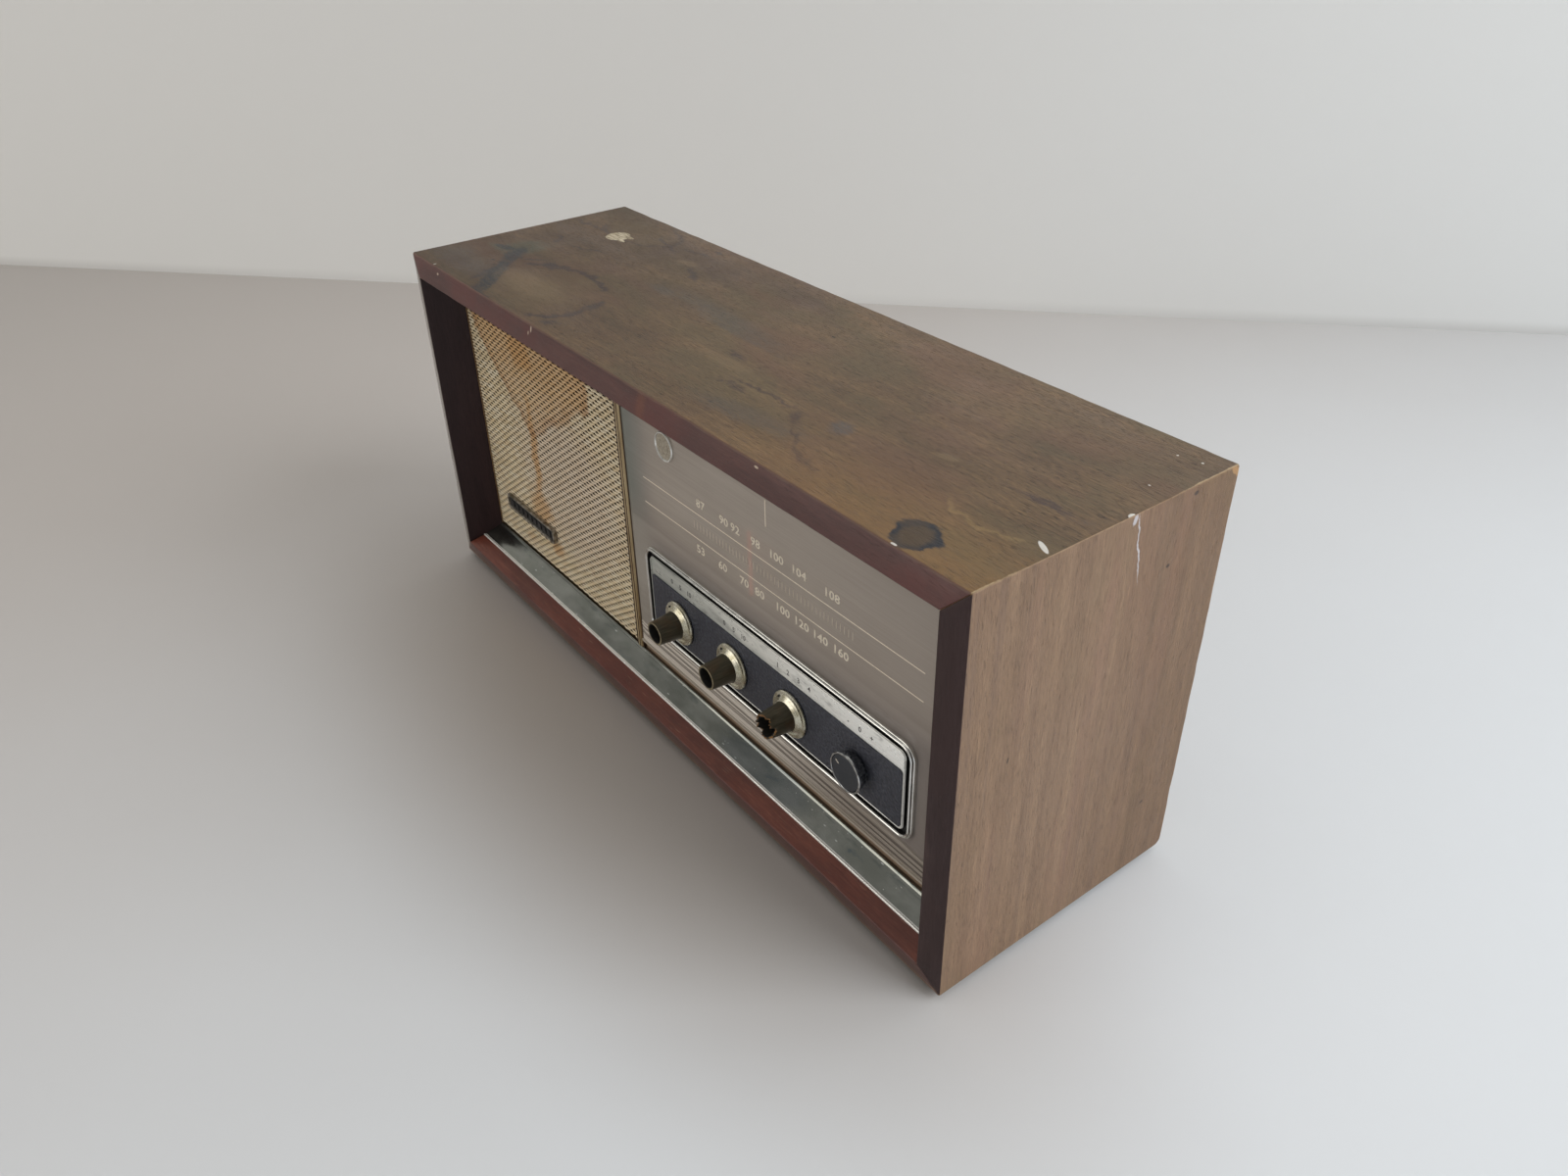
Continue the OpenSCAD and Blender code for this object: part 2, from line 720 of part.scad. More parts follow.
module if_cans() {
    s = 10;
    places = [[0.14, 0.3], [0.26, 0.3], [0.38, 0.3], [0.5, 0.3], [0.62, 0.3], [0.74, 0.3]];
    color("silver") for (p = places) translate(on_board(p[0], p[1])) difference() {
        translate([-s / 2, -s / 2, 0]) cube([s, s, 13]);
        translate([0, 0, 11]) cylinder(r = 1.6, h = 3);
    }
}

module electrolytic_capacitors() {
    places = [[0.1, 0.75, 8, 30], [0.22, 0.78, 6, 22], [0.34, 0.75, 5, 16], [0.86, 0.7, 7, 26]];
    color("darkblue") for (p = places) translate(on_board(p[0], p[1])) rotate_extrude()
        polygon([[0, 0], [p[2], 0], [p[2], 3], [p[2] - 0.6, 3.6], [p[2], 4.2], [p[2], p[3] - 0.8],
            [p[2] - 0.8, p[3]], [0, p[3]]]);
}

module transistors() {
    color("gray") for (u = [0.2:0.12:0.8]) translate(on_board(u, 0.52)) rotate_extrude()
        polygon([[0, 0], [4.4, 0], [4.4, 0.6], [3.9, 0.8], [3.9, 6], [3.4, 6.5], [0, 6.5]]);
}

// Bent sheet with upright fins that carries the output pair
module heat_sink() {
    w = 40;
    p = on_board(0.6, 0.82);
    color("darkslategray") translate(p) {
        translate([-w / 2, -1, 0]) cube([w, 2, 24]);
        for (k = [0:6]) translate([-w / 2 + k * (w - 1.2) / 6, 1, 0]) cube([1.2, 5, 24]);
        for (s = [-1, 1]) translate([s * w / 4, -1, 15]) rotate([90, 0, 0]) cylinder(r = 5, h = 3);
    }
}

module tuning_gang() {
    color("whitesmoke") difference() {
        translate([drum_x - gang_s / 2, chassis_back_y, drum_z - gang_s / 2])
            cube([gang_s, 30, gang_s]);
        backward(drum_x, chassis_back_y - 1, drum_z)
            cylinder(r = shaft_r + run_fit, h = 1 + 12 + fit);
        for (s = [-1, 1], k = [1:4]) translate([drum_x + s * gang_s / 2 - 0.5,
            chassis_back_y + 5.6 * k, drum_z - gang_s / 2 - 1]) cube([1, 1, gang_s + 2]);
    }
}

// Grooved wheel with cut-out windows, on the gang's shaft
module dial_drum() {
    floor_r = drum_path_r - cord_d / 2 - cord_fit;
    half = drum_t / 2;
    groove = (turn_y + cord_d) / 2 + cord_fit;
    windows = 5;
    drum_y = cord_y + turn_y / 2;
    color("ivory") difference() {
        backward(drum_x, drum_y, drum_z) union() {
            rotate_extrude($fn = 96) polygon([[drum_rim_r - 6, -half], [drum_rim_r, -half],
                [drum_rim_r, -groove - 0.3], [floor_r, -groove], [floor_r, groove],
                [drum_rim_r, groove + 0.3], [drum_rim_r, half], [drum_rim_r - 6, half]]);
            translate([0, 0, -half / 2]) cylinder(r = drum_rim_r - 5, h = half);
            translate([0, 0, -half]) cylinder(r = 6, h = drum_t);
            cylinder(r = shaft_r, h = chassis_back_y - drum_y + 12);
        }
        for (k = [0:windows - 1]) backward(drum_x, drum_y - half, drum_z)
            rotate([0, 0, k * 360 / windows]) translate([15.5, 0, -1])
                cylinder(r = 6, h = drum_t + 2);
    }
}

// Grooved studs that turn the cord, riveted to the chassis front; the third lifts it over
// the selector's bushing
module cord_guides() {
    floor_r = guide_path_r - cord_d / 2 - 0.1;
    groove = cord_d / 2 + 0.15;
    color("ivory") for (p = guides)
        frontward(p[0], plate_back_y, p[1]) rotate_extrude() polygon([[0, 0], [3.2, 0],
            [3.2, plate_back_y - cord_y - groove - 0.3], [floor_r, plate_back_y - cord_y - groove],
            [floor_r, plate_back_y - cord_y + groove], [3.2, plate_back_y - cord_y + groove + 0.3],
            [3.2, plate_back_y - cord_y + groove + 1], [0, plate_back_y - cord_y + groove + 1]]);
}

// Ends of the straight run that leaves circle a at the side s (1 left, -1 right of the way
// to b) and reaches circle b at the side t
function run_angle(a, b, ra, rb) = acos((ra + rb) / norm(b - a));
function heading(a, b) = atan2(b[1] - a[1], b[0] - a[0]);
function same_side(a, b, ra, rb, s) =
    let (t = heading(a, b) + s * acos((ra - rb) / norm(b - a)))
    [a + ra * [cos(t), sin(t)], b + rb * [cos(t), sin(t)]];
function cross_side(a, b, ra, rb, s) =
    let (t = heading(a, b) + s * run_angle(a, b, ra, rb))
    [a + ra * [cos(t), sin(t)], b - rb * [cos(t), sin(t)]];

module cord_run(p) {
    v = p[1] - p[0];
    translate([p[0][0], cord_y, p[0][1]]) rotate([0, 90 - atan2(v[1], v[0]), 0])
        translate([0, 0, -lap]) cylinder(d = cord_d, h = norm(v) + 2 * lap, $fn = 16);
}

// The bends are drawn a little thinner, as a cord pulled round a stud is
module cord_arc(c, r, from, turn) {
    translate([c[0], cord_y, c[1]]) rotate([90, 0, 0]) rotate([0, 0, from])
        rotate_extrude(angle = turn, $fn = 64) translate([r, 0]) circle(d = bend_d, $fn = 16);
}

// One whole turn beside the run, on the drum and on the tuning shaft
module cord_turn(c, r) {
    backward(c[0], cord_y + turn_y, c[1]) rotate_extrude($fn = 64) translate([r, 0])
        circle(d = cord_d, $fn = 16);
}

bend_d = 0.95 * cord_d;
lap = 0.02;

module dial_cord() {
    left = guides[0];
    right = guides[1];
    idler = guides[2];
    drum = [drum_x, drum_z];
    neck = [control_x(3), control_z];
    g = guide_path_r;
    down = same_side(left, drum, g, drum_path_r, -1);
    across = cross_side(drum, idler, drum_path_r, g, -1);
    onward = cross_side(idler, neck, g, cord_path_r, 1);
    up = same_side(neck, right, cord_path_r, g, -1);
    a0 = heading(drum, down[1]);
    a1 = heading(drum, across[0]);
    i0 = heading(idler, onward[0]);
    n0 = heading(neck, onward[1]);
    n1 = heading(neck, up[0]);
    color("ivory") {
        cord_run([[guide_x0, guide_z + g], [guide_x1, guide_z + g]]);
        cord_run(down);
        cord_run(across);
        cord_run(onward);
        cord_run(up);
        cord_arc(left, g, 90, heading(left, down[0]) - 90 + (heading(left, down[0]) < 90 ? 360 : 0));
        cord_arc(drum, drum_path_r, a0, (a1 - a0 + 360) % 360);
        cord_arc(idler, g, i0, heading(idler, across[1]) - i0);
        cord_arc(neck, cord_path_r, n0, (n1 - n0 + 360) % 360);
        cord_arc(right, g, heading(right, up[1]), 90 - heading(right, up[1]));
        cord_turn(drum, drum_path_r);
        cord_turn(neck, cord_path_r);
    }
}

// Rod along the scale, bent back to the chassis at both ends
module pointer_rail() {
    rail_y = panel_back_y + 3;
    color("silver") {
        translate([guide_x0 - 4, rail_y, rail_z]) rotate([0, 90, 0])
            cylinder(d = rail_d, h = guide_x1 - guide_x0 + 8);
        for (x = [guide_x0 - 4, guide_x1 + 4]) {
            translate([x, rail_y, rail_z]) sphere(d = rail_d);
            backward(x, rail_y, rail_z) cylinder(d = rail_d, h = plate_back_y - rail_y);
        }
    }
}

// Blade behind the panel, hung from a slide on the rail with a clip round the cord
module dial_pointer() {
    rail_y = panel_back_y + 3;
    half = 5;
    color("orangered") difference() {
        union() {
            box(pointer_x - pointer_w / 2, pointer_x + pointer_w / 2, panel_back_y + 0.6,
                panel_back_y + 1.4, pointer_z0, rail_z);
            box(pointer_x - half, pointer_x + half, panel_back_y + 0.6, rail_y + rail_d / 2 + 0.8,
                rail_z - rail_d / 2 - 1, rail_z + rail_d / 2 + 1);
            box(pointer_x - 1.5, pointer_x + 1.5, rail_y, cord_y + 1.3, cord_z - 1.3, rail_z);
        }
        translate([pointer_x - half - 1, rail_y, rail_z]) rotate([0, 90, 0])
            cylinder(r = rail_d / 2 + run_fit, h = 2 * half + 2);
        translate([pointer_x - 3, cord_y, cord_z]) rotate([0, 90, 0])
            cylinder(r = cord_d / 2 + cord_fit, h = 6);
    }
}

module dial_lamp() {
    lamp_y = panel_back_y + 3.2;
    seat = plate_back_y - lamp_y;
    color("lightyellow") backward(lamp_x, lamp_y, lamp_z) rotate_extrude()
        polygon([[0, -2.8], [1.5, -2.4], [2.5, -1], [2.7, 1], [2, 4], [2, seat], [0, seat]]);
}

module lamp_holder() {
    color("silver") {
        backward(lamp_x, chassis_back_y, lamp_z) difference() {
            cylinder(r = 4, h = 9);
            translate([0, 0, -1]) cylinder(r = 2.6, h = 8);
        }
        translate([lamp_x - 4, chassis_back_y, lamp_z - 12]) cube([8, 0.8, 9]);
    }
}

module ferrite_rod() {
    color("black") translate([chassis_x0 + 12, chassis_back_y + 14, rail_z - 4])
        rotate([0, 90, 0]) cylinder(d = rod_d, h = rod_len);
}

module rod_holders() {
    y = chassis_back_y + 14;
    z = rail_z - 4;
    color("whitesmoke") for (x = [chassis_x0 + 26, chassis_x0 + rod_len - 4]) difference() {
        union() {
            translate([x - 2.5, chassis_back_y, z - 3]) cube([5, y - chassis_back_y, 6]);
            translate([x - 2.5, y, z]) rotate([0, 90, 0]) cylinder(r = rod_d / 2 + 2, h = 5);
        }
        translate([x - 4, y, z]) rotate([0, 90, 0]) cylinder(d = rod_d, h = 8);
    }
}

// Laminated core with a foot bracket on each side
module transformer_core() {
    w = 50;
    h = 42;
    d = 18;
    window = [8, 26];
    color("dimgray") difference() {
        union() {
            translate([transformer_x - w / 2, transformer_y - d / 2, floor_z]) cube([w, d, h]);
            translate([transformer_x - w / 2 - 12, transformer_y - d / 2, floor_z])
                cube([w + 24, d, 1.5]);
        }
        for (s = [-1, 1]) translate([transformer_x + s * 12.5 - window[0] / 2,
            transformer_y - d / 2 - 1, floor_z + 8]) cube([window[0], d + 2, window[1]]);
        for (p = transformer_screws) translate([p[0], p[1], floor_z - 1])
            cylinder(r = screw_hole_r, h = 4);
    }
}

module transformer_coil() {
    d = 18;
    color("khaki") difference() {
        translate([transformer_x - 16.3, transformer_y - d / 2 - 8, floor_z + 8.2])
            cube([32.6, d + 16, 25.6]);
        translate([transformer_x - 8.5, transformer_y - d / 2, floor_z]) cube([17, d, 60]);
    }
}

// Pressed basket with six windows and a flat flange
module speaker_frame() {
    r = speaker_d / 2;
    t = 1.2;
    neck = magnet_d / 2 - 3;
    windows = 6;
    color("gray") difference() {
        backward(speaker_x, baffle_back_y, speaker_z) rotate_extrude($fn = 72) polygon([
            [r - 7, 0], [r, 0], [r, t], [r - 7 + t, t], [r - 11, 10], [neck + t, speaker_depth - t],
            [neck + t, speaker_depth], [9, speaker_depth], [9, speaker_depth - t],
            [neck, speaker_depth - t], [r - 11 - t, 10 - t]]);
        for (k = [0:windows - 1]) backward(speaker_x, baffle_back_y, speaker_z)
            rotate([0, 0, k * 360 / windows]) translate([25, -8, 11])
                cube([30, 16, speaker_depth - 18]);
        for (p = speaker_screws) backward(p[0], baffle_back_y - 1, p[1])
            cylinder(r = screw_hole_r, h = 4);
    }
}

module speaker_cone() {
    r = speaker_d / 2 - 7.8;
    color("darkslategray") backward(speaker_x, baffle_back_y, speaker_z)
        rotate_extrude($fn = 72) polygon([[r - 3, 0.6], [r, 0.6], [r - 5, 3.4], [14, speaker_depth - 9],
            [12, speaker_depth - 4], [11, speaker_depth - 4], [12, speaker_depth - 9.5],
            [0, speaker_depth - 14], [0, speaker_depth - 14.8], [13, speaker_depth - 10.2],
            [r - 6, 2.6]]);
}

module speaker_magnet() {
    color("dimgray") backward(speaker_x, baffle_back_y + speaker_depth, speaker_z)
        rotate_extrude() polygon([[0, 0], [magnet_d / 2, 0], [magnet_d / 2, magnet_t],
            [magnet_d / 2 - 4, magnet_t], [magnet_d / 2 - 4, magnet_t + 3], [0, magnet_t + 3]]);
}

module slot(length, h) {
    square([length - h, h], center = true);
    for (s = [-1, 1]) translate([s * (length - h) / 2, 0]) circle(h / 2, $fn = 24);
}

module rear_cover() {
    slot_len = 24;
    columns = 9;
    rows = 6;
    pitch = (2 * inner_x - 70) / (columns - 1);
    color("dimgray") difference() {
        box(fit - inner_x, inner_x - fit, cover_y0, cover_y1, floor_z + fit, roof_z - fit);
        for (c = [0:columns - 1], k = [0:rows - 1])
            frontward(35 - inner_x + c * pitch, cover_y1 + 1, floor_z + 40 + 8 * k)
                linear_extrude(cover_t + 2) slot(slot_len, 3);
        frontward(inlet_x, cover_y1 + 1, inlet_z) cylinder(r = inlet_d / 2 + 1.5, h = cover_t + 2);
        for (p = cover_screws) frontward(p[0], cover_y1 + 1, p[1])
            cylinder(r = screw_hole_r, h = cover_t + 2);
    }
}

module terminal_strip() {
    color("saddlebrown") difference() {
        backward(terminal_x, cover_y1, terminal_z) linear_extrude(terminal_t) rounded(44, 13, 2);
        for (s = [-1, 1]) backward(terminal_x + s * 11, cover_y1 - 1, terminal_z)
            cylinder(r = screw_hole_r, h = terminal_t + 2);
    }
}

module terminal_screws() {
    color("silver") for (s = [-1, 1])
        backward(terminal_x + s * 11, cover_y1 + terminal_t, terminal_z)
            screw(terminal_t - 0.2, screw_r, 2.8);
}

// Split ring in the cover's hole, bored for the supply cord
module cord_grommet() {
    r = inlet_d / 2;
    wall = 1.5;
    lip = 1.4;
    color("black") backward(inlet_x, cover_y0, inlet_z) rotate_extrude() polygon([[r, -lip],
        [r + wall + 1.6, -lip], [r + wall + 1.6, 0], [r + wall, 0], [r + wall, cover_t],
        [r + wall + 1.6, cover_t], [r + wall + 1.2, cover_t + lip], [r, cover_t + lip]]);
}

cabinet_top();
cabinet_bottom();
cabinet_left();
cabinet_right();
corner_battens();
feet();
chrome_ledge();
front_baffle();
grille_cloth();
grille_badge();
divider_strip();
dial_panel();
crest_disc();
bezel_ring();
control_plate();
leather_inlay();
volume_stub();
volume_flange();
volume_shaft();
tone_stub();
tone_flange();
tone_shaft();
selector_stub();
selector_flange();
selector_shaft();
tuning_cap();
tuning_knob();
tuning_shaft();
volume_pot();
tone_pot();
selector_switch();
tuning_bushing();
control_nuts();
chassis();
fixing_screws();
circuit_board();
if_cans();
electrolytic_capacitors();
transistors();
heat_sink();
tuning_gang();
dial_drum();
cord_guides();
dial_cord();
pointer_rail();
dial_pointer();
dial_lamp();
lamp_holder();
ferrite_rod();
rod_holders();
transformer_core();
transformer_coil();
speaker_frame();
speaker_cone();
speaker_magnet();
rear_cover();
terminal_strip();
terminal_screws();
cord_grommet();
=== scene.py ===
# %% [markdown]
# # A walnut table radio
# The radio is a mitred walnut case. Its left half is speaker cloth, its right half a dial
# panel with four controls, and a chrome ledge runs below both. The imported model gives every
# piece's place. This notebook gives each visible piece its rounded edges, its finish and its wear.

# %% Load the frame
import bpy, bmesh, math
from mathutils import Matrix, Vector, noise


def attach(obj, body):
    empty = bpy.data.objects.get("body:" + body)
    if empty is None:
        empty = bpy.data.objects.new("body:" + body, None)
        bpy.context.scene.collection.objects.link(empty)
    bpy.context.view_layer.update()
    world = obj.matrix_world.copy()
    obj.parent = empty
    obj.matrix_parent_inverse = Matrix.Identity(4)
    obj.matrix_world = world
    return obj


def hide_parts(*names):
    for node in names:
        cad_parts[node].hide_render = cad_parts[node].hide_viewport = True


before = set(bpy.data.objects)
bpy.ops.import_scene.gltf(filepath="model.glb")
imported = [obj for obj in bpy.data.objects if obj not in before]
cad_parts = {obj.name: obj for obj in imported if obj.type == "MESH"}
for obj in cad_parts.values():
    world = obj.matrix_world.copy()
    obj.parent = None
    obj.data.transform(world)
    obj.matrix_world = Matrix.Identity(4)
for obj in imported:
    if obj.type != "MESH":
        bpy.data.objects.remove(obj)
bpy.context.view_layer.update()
MM = 0.001
CASE_W = 380
FRONT, BACK, BASE, TOP = -60.5, 60.5, 3.0, 170.5
BOARD = 17.8
RIDGE_IN, RECESS = 9.7, 17.0    # the ridge of the front edge, and the depth of the slope behind it

# %% [markdown]
# ## Camera
# The camera stands to the right of the radio, above it, and looks back along the front. Its
# place, its turn and its lens were solved from the straight edges of the case.

# %% Camera
def make_camera():
    data = bpy.data.cameras.new("camera")
    data.sensor_width = 36
    data.lens = 27.437
    camera = bpy.data.objects.new("camera", data)
    right = Vector((0.60391, 0.79684, -0.0183))
    down = Vector((0.42992, -0.34499, -0.83436))
    ahead = Vector((-0.67116, 0.49601, -0.55092))
    turn = Matrix((right, -down, -ahead)).transposed()
    camera.matrix_world = Matrix.Translation(Vector((373.91, -256.72, 349.23)) * MM) @ turn.to_4x4()
    bpy.context.scene.collection.objects.link(camera)
    bpy.context.scene.camera = camera
    return camera

camera = make_camera()
print("camera", [round(c, 3) for c in camera.location])

# %% [markdown]
# ## Small helpers
# Every finish is a Principled surface with a few texture nodes in front of it. Short calls add
# the nodes, and so do sums and products of their values, which keeps the finishes readable.
# Lengths inside the finishes are in millimetres, because the first node turns metres into them.

# %% Finish helper
def tone(red, green, blue):
    """A colour as a picture shows it, 0 to 255, turned into light values."""
    return tuple(((c / 255 + 0.055) / 1.055) ** 2.4 if c > 10 else c / 255 / 12.92
                 for c in (red, green, blue)) + (1.0,)

class Wire:
    """One value in a node tree. Sums and products of wires add the nodes for them."""
    def __init__(self, nodes, socket):
        self.nodes, self.socket = nodes, socket

    def __add__(self, other):
        return self.nodes.math("ADD", self, other)

    __radd__ = __add__

    def __sub__(self, other):
        return self.nodes.math("SUBTRACT", self, other)

    def __rsub__(self, other):
        return self.nodes.math("SUBTRACT", other, self)

    def __mul__(self, other):
        return self.nodes.math("MULTIPLY", self, other)

    __rmul__ = __mul__

    def __truediv__(self, other):
        return self.nodes.math("DIVIDE", self, other)

    def __abs__(self):
        return self.nodes.math("ABSOLUTE", self)

    def larger(self, other):
        return self.nodes.math("MAXIMUM", self, other)

    def smaller(self, other):
        return self.nodes.math("MINIMUM", self, other)

    def step(self, low, high, start=0.0, end=1.0):
        """Goes softly from start to end while the value goes from low to high."""
        inputs = dict(enumerate((self, low, high, start, end)))
        return self.nodes.add("ShaderNodeMapRange", 0, inputs, interpolation_type="SMOOTHSTEP")

    def ramp(self, *stops):
        """A colour from stops of (place, shade); a shade is three numbers, or one for grey."""
        made = self.nodes.add("ShaderNodeValToRGB", 0, {0: self})
        bar = made.socket.node.color_ramp.elements
        while len(bar) < len(stops):
            bar.new(0.5)
        for mark, (place, shade) in zip(bar, stops):
            mark.position = place
            mark.color = tone(*shade) if isinstance(shade, tuple) else (shade, shade, shade, 1)
        return made

    def between(self, first, second):
        """A colour that is the first where this value is 0, and the second where it is 1."""
        return self.nodes.mix(self, first, second)

    def tint(self, share, other):
        """This colour with a share of another."""
        return self.nodes.mix(share, self, other)

    def times(self, other):
        return self.nodes.mix(1.0, self, other, "MULTIPLY")

class Nodes:
    """Adds nodes to a tree, one call for each, and gives back wires."""
    def put(self, node, key, value):
        """Fills an input: a wire is linked, a plain value is set, and None leaves it alone."""
        value = getattr(value, "socket", value)
        if isinstance(value, bpy.types.NodeSocket):
            self.tree.links.new(value, node.inputs[key])
        elif value is not None:
            node.inputs[key].default_value = value

    def add(self, kind, out, inputs, **settings):
        node = self.tree.nodes.new(kind)
        for key, value in settings.items():
            setattr(node, key, value)
        for key, value in inputs.items():
            self.put(node, key, value)
        return Wire(self, node.outputs[out])

    def math(self, operation, *values):
        return self.add("ShaderNodeMath", 0, dict(enumerate(values)), operation=operation)

class Finish(Nodes):
    """One material, with a short call for each kind of node."""
    def __init__(self, name, rough=0.5, metal=0.0, color=(200, 200, 200), **sockets):
        self.material = bpy.data.materials.new(name)
        self.material.use_nodes = True
        self.tree = self.material.node_tree
        self.surface = self.tree.nodes["Principled BSDF"]
        self.set("Base Color", tone(*color))
        self.set("Roughness", rough)
        self.set("Metallic", metal)
        for socket, value in sockets.items():
            self.set(socket.replace("_", " "), value)
        place = self.add("ShaderNodeTexCoord", "Object", {})
        self.mm = self.vector("SCALE", place, scale=1 / MM)

    def set(self, socket, value):
        self.put(self.surface, socket, value)

    def paint(self, color, height, depth_mm, rough=None):
        """Gives the surface its colour, its bumps and, where it varies, its roughness."""
        self.set("Base Color", color)
        if rough is not None:
            self.set("Roughness", rough)
        self.set("Normal", self.add("ShaderNodeBump", 0, {
            "Strength": 1.0, "Distance": depth_mm * MM, "Height": height}))

    def vector(self, operation, a, b=None, scale=None):
        out = "Value" if operation == "LENGTH" else "Vector"
        inputs = {0: a, 1: b, "Scale": scale}
        return self.add("ShaderNodeVectorMath", out, inputs, operation=operation)

    def scaled(self, spread):
        """The place in millimetres times one number or three; a ready place stays as it is."""
        if isinstance(spread, Wire):
            return spread
        if not isinstance(spread, tuple):
            spread = (spread,) * 3
        return self.vector("MULTIPLY", self.mm, spread)

    def axes(self, place=None):
        apart = self.add("ShaderNodeSeparateXYZ", 0, {0: place or self.mm})
        return [Wire(self, socket) for socket in apart.socket.node.outputs]

    def noise(self, spread, detail=4, rough=0.5, warp=0.0, color=False):
        return self.add("ShaderNodeTexNoise", "Color" if color else "Fac", {
            "Vector": self.scaled(spread), "Scale": 1.0, "Detail": detail, "Roughness": rough,
            "Distortion": warp})

    def cells(self, spread, feature="F1"):
        return self.add("ShaderNodeTexVoronoi", "Distance", {
            "Vector": self.scaled(spread), "Scale": 1.0, "Randomness": 1.0}, feature=feature)

    def mix(self, share, a, b, blend="MIX"):
        a, b = (tone(*c) if isinstance(c, tuple) else c for c in (a, b))
        inputs = {0: share, 6: a, 7: b}
        return self.add("ShaderNodeMix", 2, inputs, data_type="RGBA", blend_type=blend)

    def strayed(self, spread, reach, detail=3, rough=0.5):
        """The place in millimetres, moved about by noise, so that outlines wander."""
        drift = self.noise(spread, detail, rough, color=True)
        drift = self.vector("SUBTRACT", drift, (0.5, 0.5, 0.5))
        return self.vector("ADD", self.mm, self.vector("SCALE", drift, scale=reach))

    def oval(self, place, half, turn=0.0, plane="xy", where=None):
        """How far a point is from the middle of a slanting oval on a face; its edge is at 1."""
        first, second, spin, way = {
            "xy": (0, 1, 2, 1), "xz": (0, 2, 1, -1), "yz": (1, 2, 0, 1)}[plane]
        middle, size, angle = [0.0] * 3, [1e5] * 3, [0.0] * 3
        middle[first], middle[second] = place
        size[first], size[second] = half
        angle[spin] = math.radians(turn) * way
        mapped = self.add("ShaderNodeMapping", 0, {
            "Vector": where or self.mm, "Location": middle, "Rotation": angle, "Scale": size},
            vector_type="TEXTURE")
        return self.vector("LENGTH", mapped)

    def patch(self, ovals, ragged=None, amount=0.5, soft=0.15, plane="xy", where=None):
        """Ragged patches, 1 inside; each oval is (x, y, half length, half width, turn)."""
        near = None
        for x, y, long, wide, turn in ovals:
            reach = self.oval((x, y), (long, wide), turn, plane, where)
            near = near.smaller(reach) if near else reach
        if ragged:
            near = (ragged - 0.5) * (amount * 2) + near
        return near.step(1.0 - soft, 1.0 + soft, 1.0, 0.0)

    def attribute(self, name):
        return self.add("ShaderNodeAttribute", "Fac", {}, attribute_name=name)

# %% [markdown]
# Pieces are built as meshes in millimetres and scaled once, so their object stays at the
# origin, unturned and unscaled. The helpers below cover the ways that this radio's parts are
# made: swept sections, turned profiles, and closed rounded outlines.

# %% Piece helpers
def keep_piece(name, bm, finishes, stands_for=(), body="case", smooth=40):
    """Turns a bmesh in millimetres into a piece that rides on its body."""
    bmesh.ops.scale(bm, vec=(MM,) * 3, verts=bm.verts)
    mesh = bpy.data.meshes.new(name)
    bm.to_mesh(mesh)
    bm.free()
    for finish in finishes:
        mesh.materials.append(finish.material)
    if smooth:
        mesh.shade_smooth()
        mesh.set_sharp_from_angle(angle=math.radians(smooth))
    piece = bpy.data.objects.new(name, mesh)
    bpy.context.scene.collection.objects.link(piece)
    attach(piece, body)
    if stands_for:
        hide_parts(*stands_for)
    return piece

def outwards(bm):
    bmesh.ops.recalc_face_normals(bm, faces=bm.faces)

def skin(bm, rows):
    """Joins closed rows of points with four-sided faces."""
    faces = []
    for a, b in zip(rows, rows[1:]):
        for k in range(len(a)):
            j = (k + 1) % len(a)
            faces.append(bm.faces.new((a[k], a[j], b[j], b[k])))
    return faces

def join(bm, part, index=0):
    """Adds another bmesh, with all its faces on one material."""
    spare = bpy.data.meshes.new("spare")
    part.to_mesh(spare)
    part.free()
    first = len(bm.faces)
    bm.from_mesh(spare)
    bm.faces.ensure_lookup_table()
    for face in bm.faces[first:]:
        face.material_index = index

def give(bm, index, test):
    """Gives a material to the faces whose middle and direction pass a test."""
    for face in bm.faces:
        if test(face.calc_center_median(), face.normal):
            face.material_index = index

def turned(bm, profile, centre, y0, steps=64, closed=True, shape=None):
    """Turns (radius, reach) points round an axis along Y; reach counts forward from depth y0."""
    rings = []
    for r, reach in profile:
        ring = []
        for k in range(steps):
            a = 2 * math.pi * k / steps
            rr, rx = shape(r, reach, a) if shape else (r, reach)
            ring.append(bm.verts.new((centre[0] + rr * math.cos(a), y0 - rx,
                centre[1] + rr * math.sin(a))))
        rings.append(ring)
    skin(bm, rings + rings[:1] if closed else rings)
    if not closed:
        for ring in (rings[0], rings[-1]):
            if (ring[0].co - ring[1].co).length > 1e-6:
                bm.faces.new(ring)

def outline(w, h, r, inset, reach, centre, y0, steps):
    """Points along a rounded rectangle, drawn in by inset and standing reach in front of y0."""
    points = []
    for quarter, (sx, sz) in enumerate(((1, 1), (-1, 1), (-1, -1), (1, -1))):
        for k in range(steps + 1):
            a = math.pi / 2 * (quarter + k / steps)
            points.append((centre[0] + sx * (w / 2 - r) + math.cos(a) * (r - inset), y0 - reach,
                centre[1] + sz * (h / 2 - r) + math.sin(a) * (r - inset)))
    return points

def framed(bm, w, h, r, section, centre, y0, steps=10):
    """Sweeps an (inset, reach) section round a rounded rectangle."""
    rows = [outline(w, h, r, inset, reach, centre, y0, steps) for inset, reach in section]
    rings = [[bm.verts.new(point) for point in ring] for ring in zip(*rows)]
    skin(bm, rings + rings[:1])

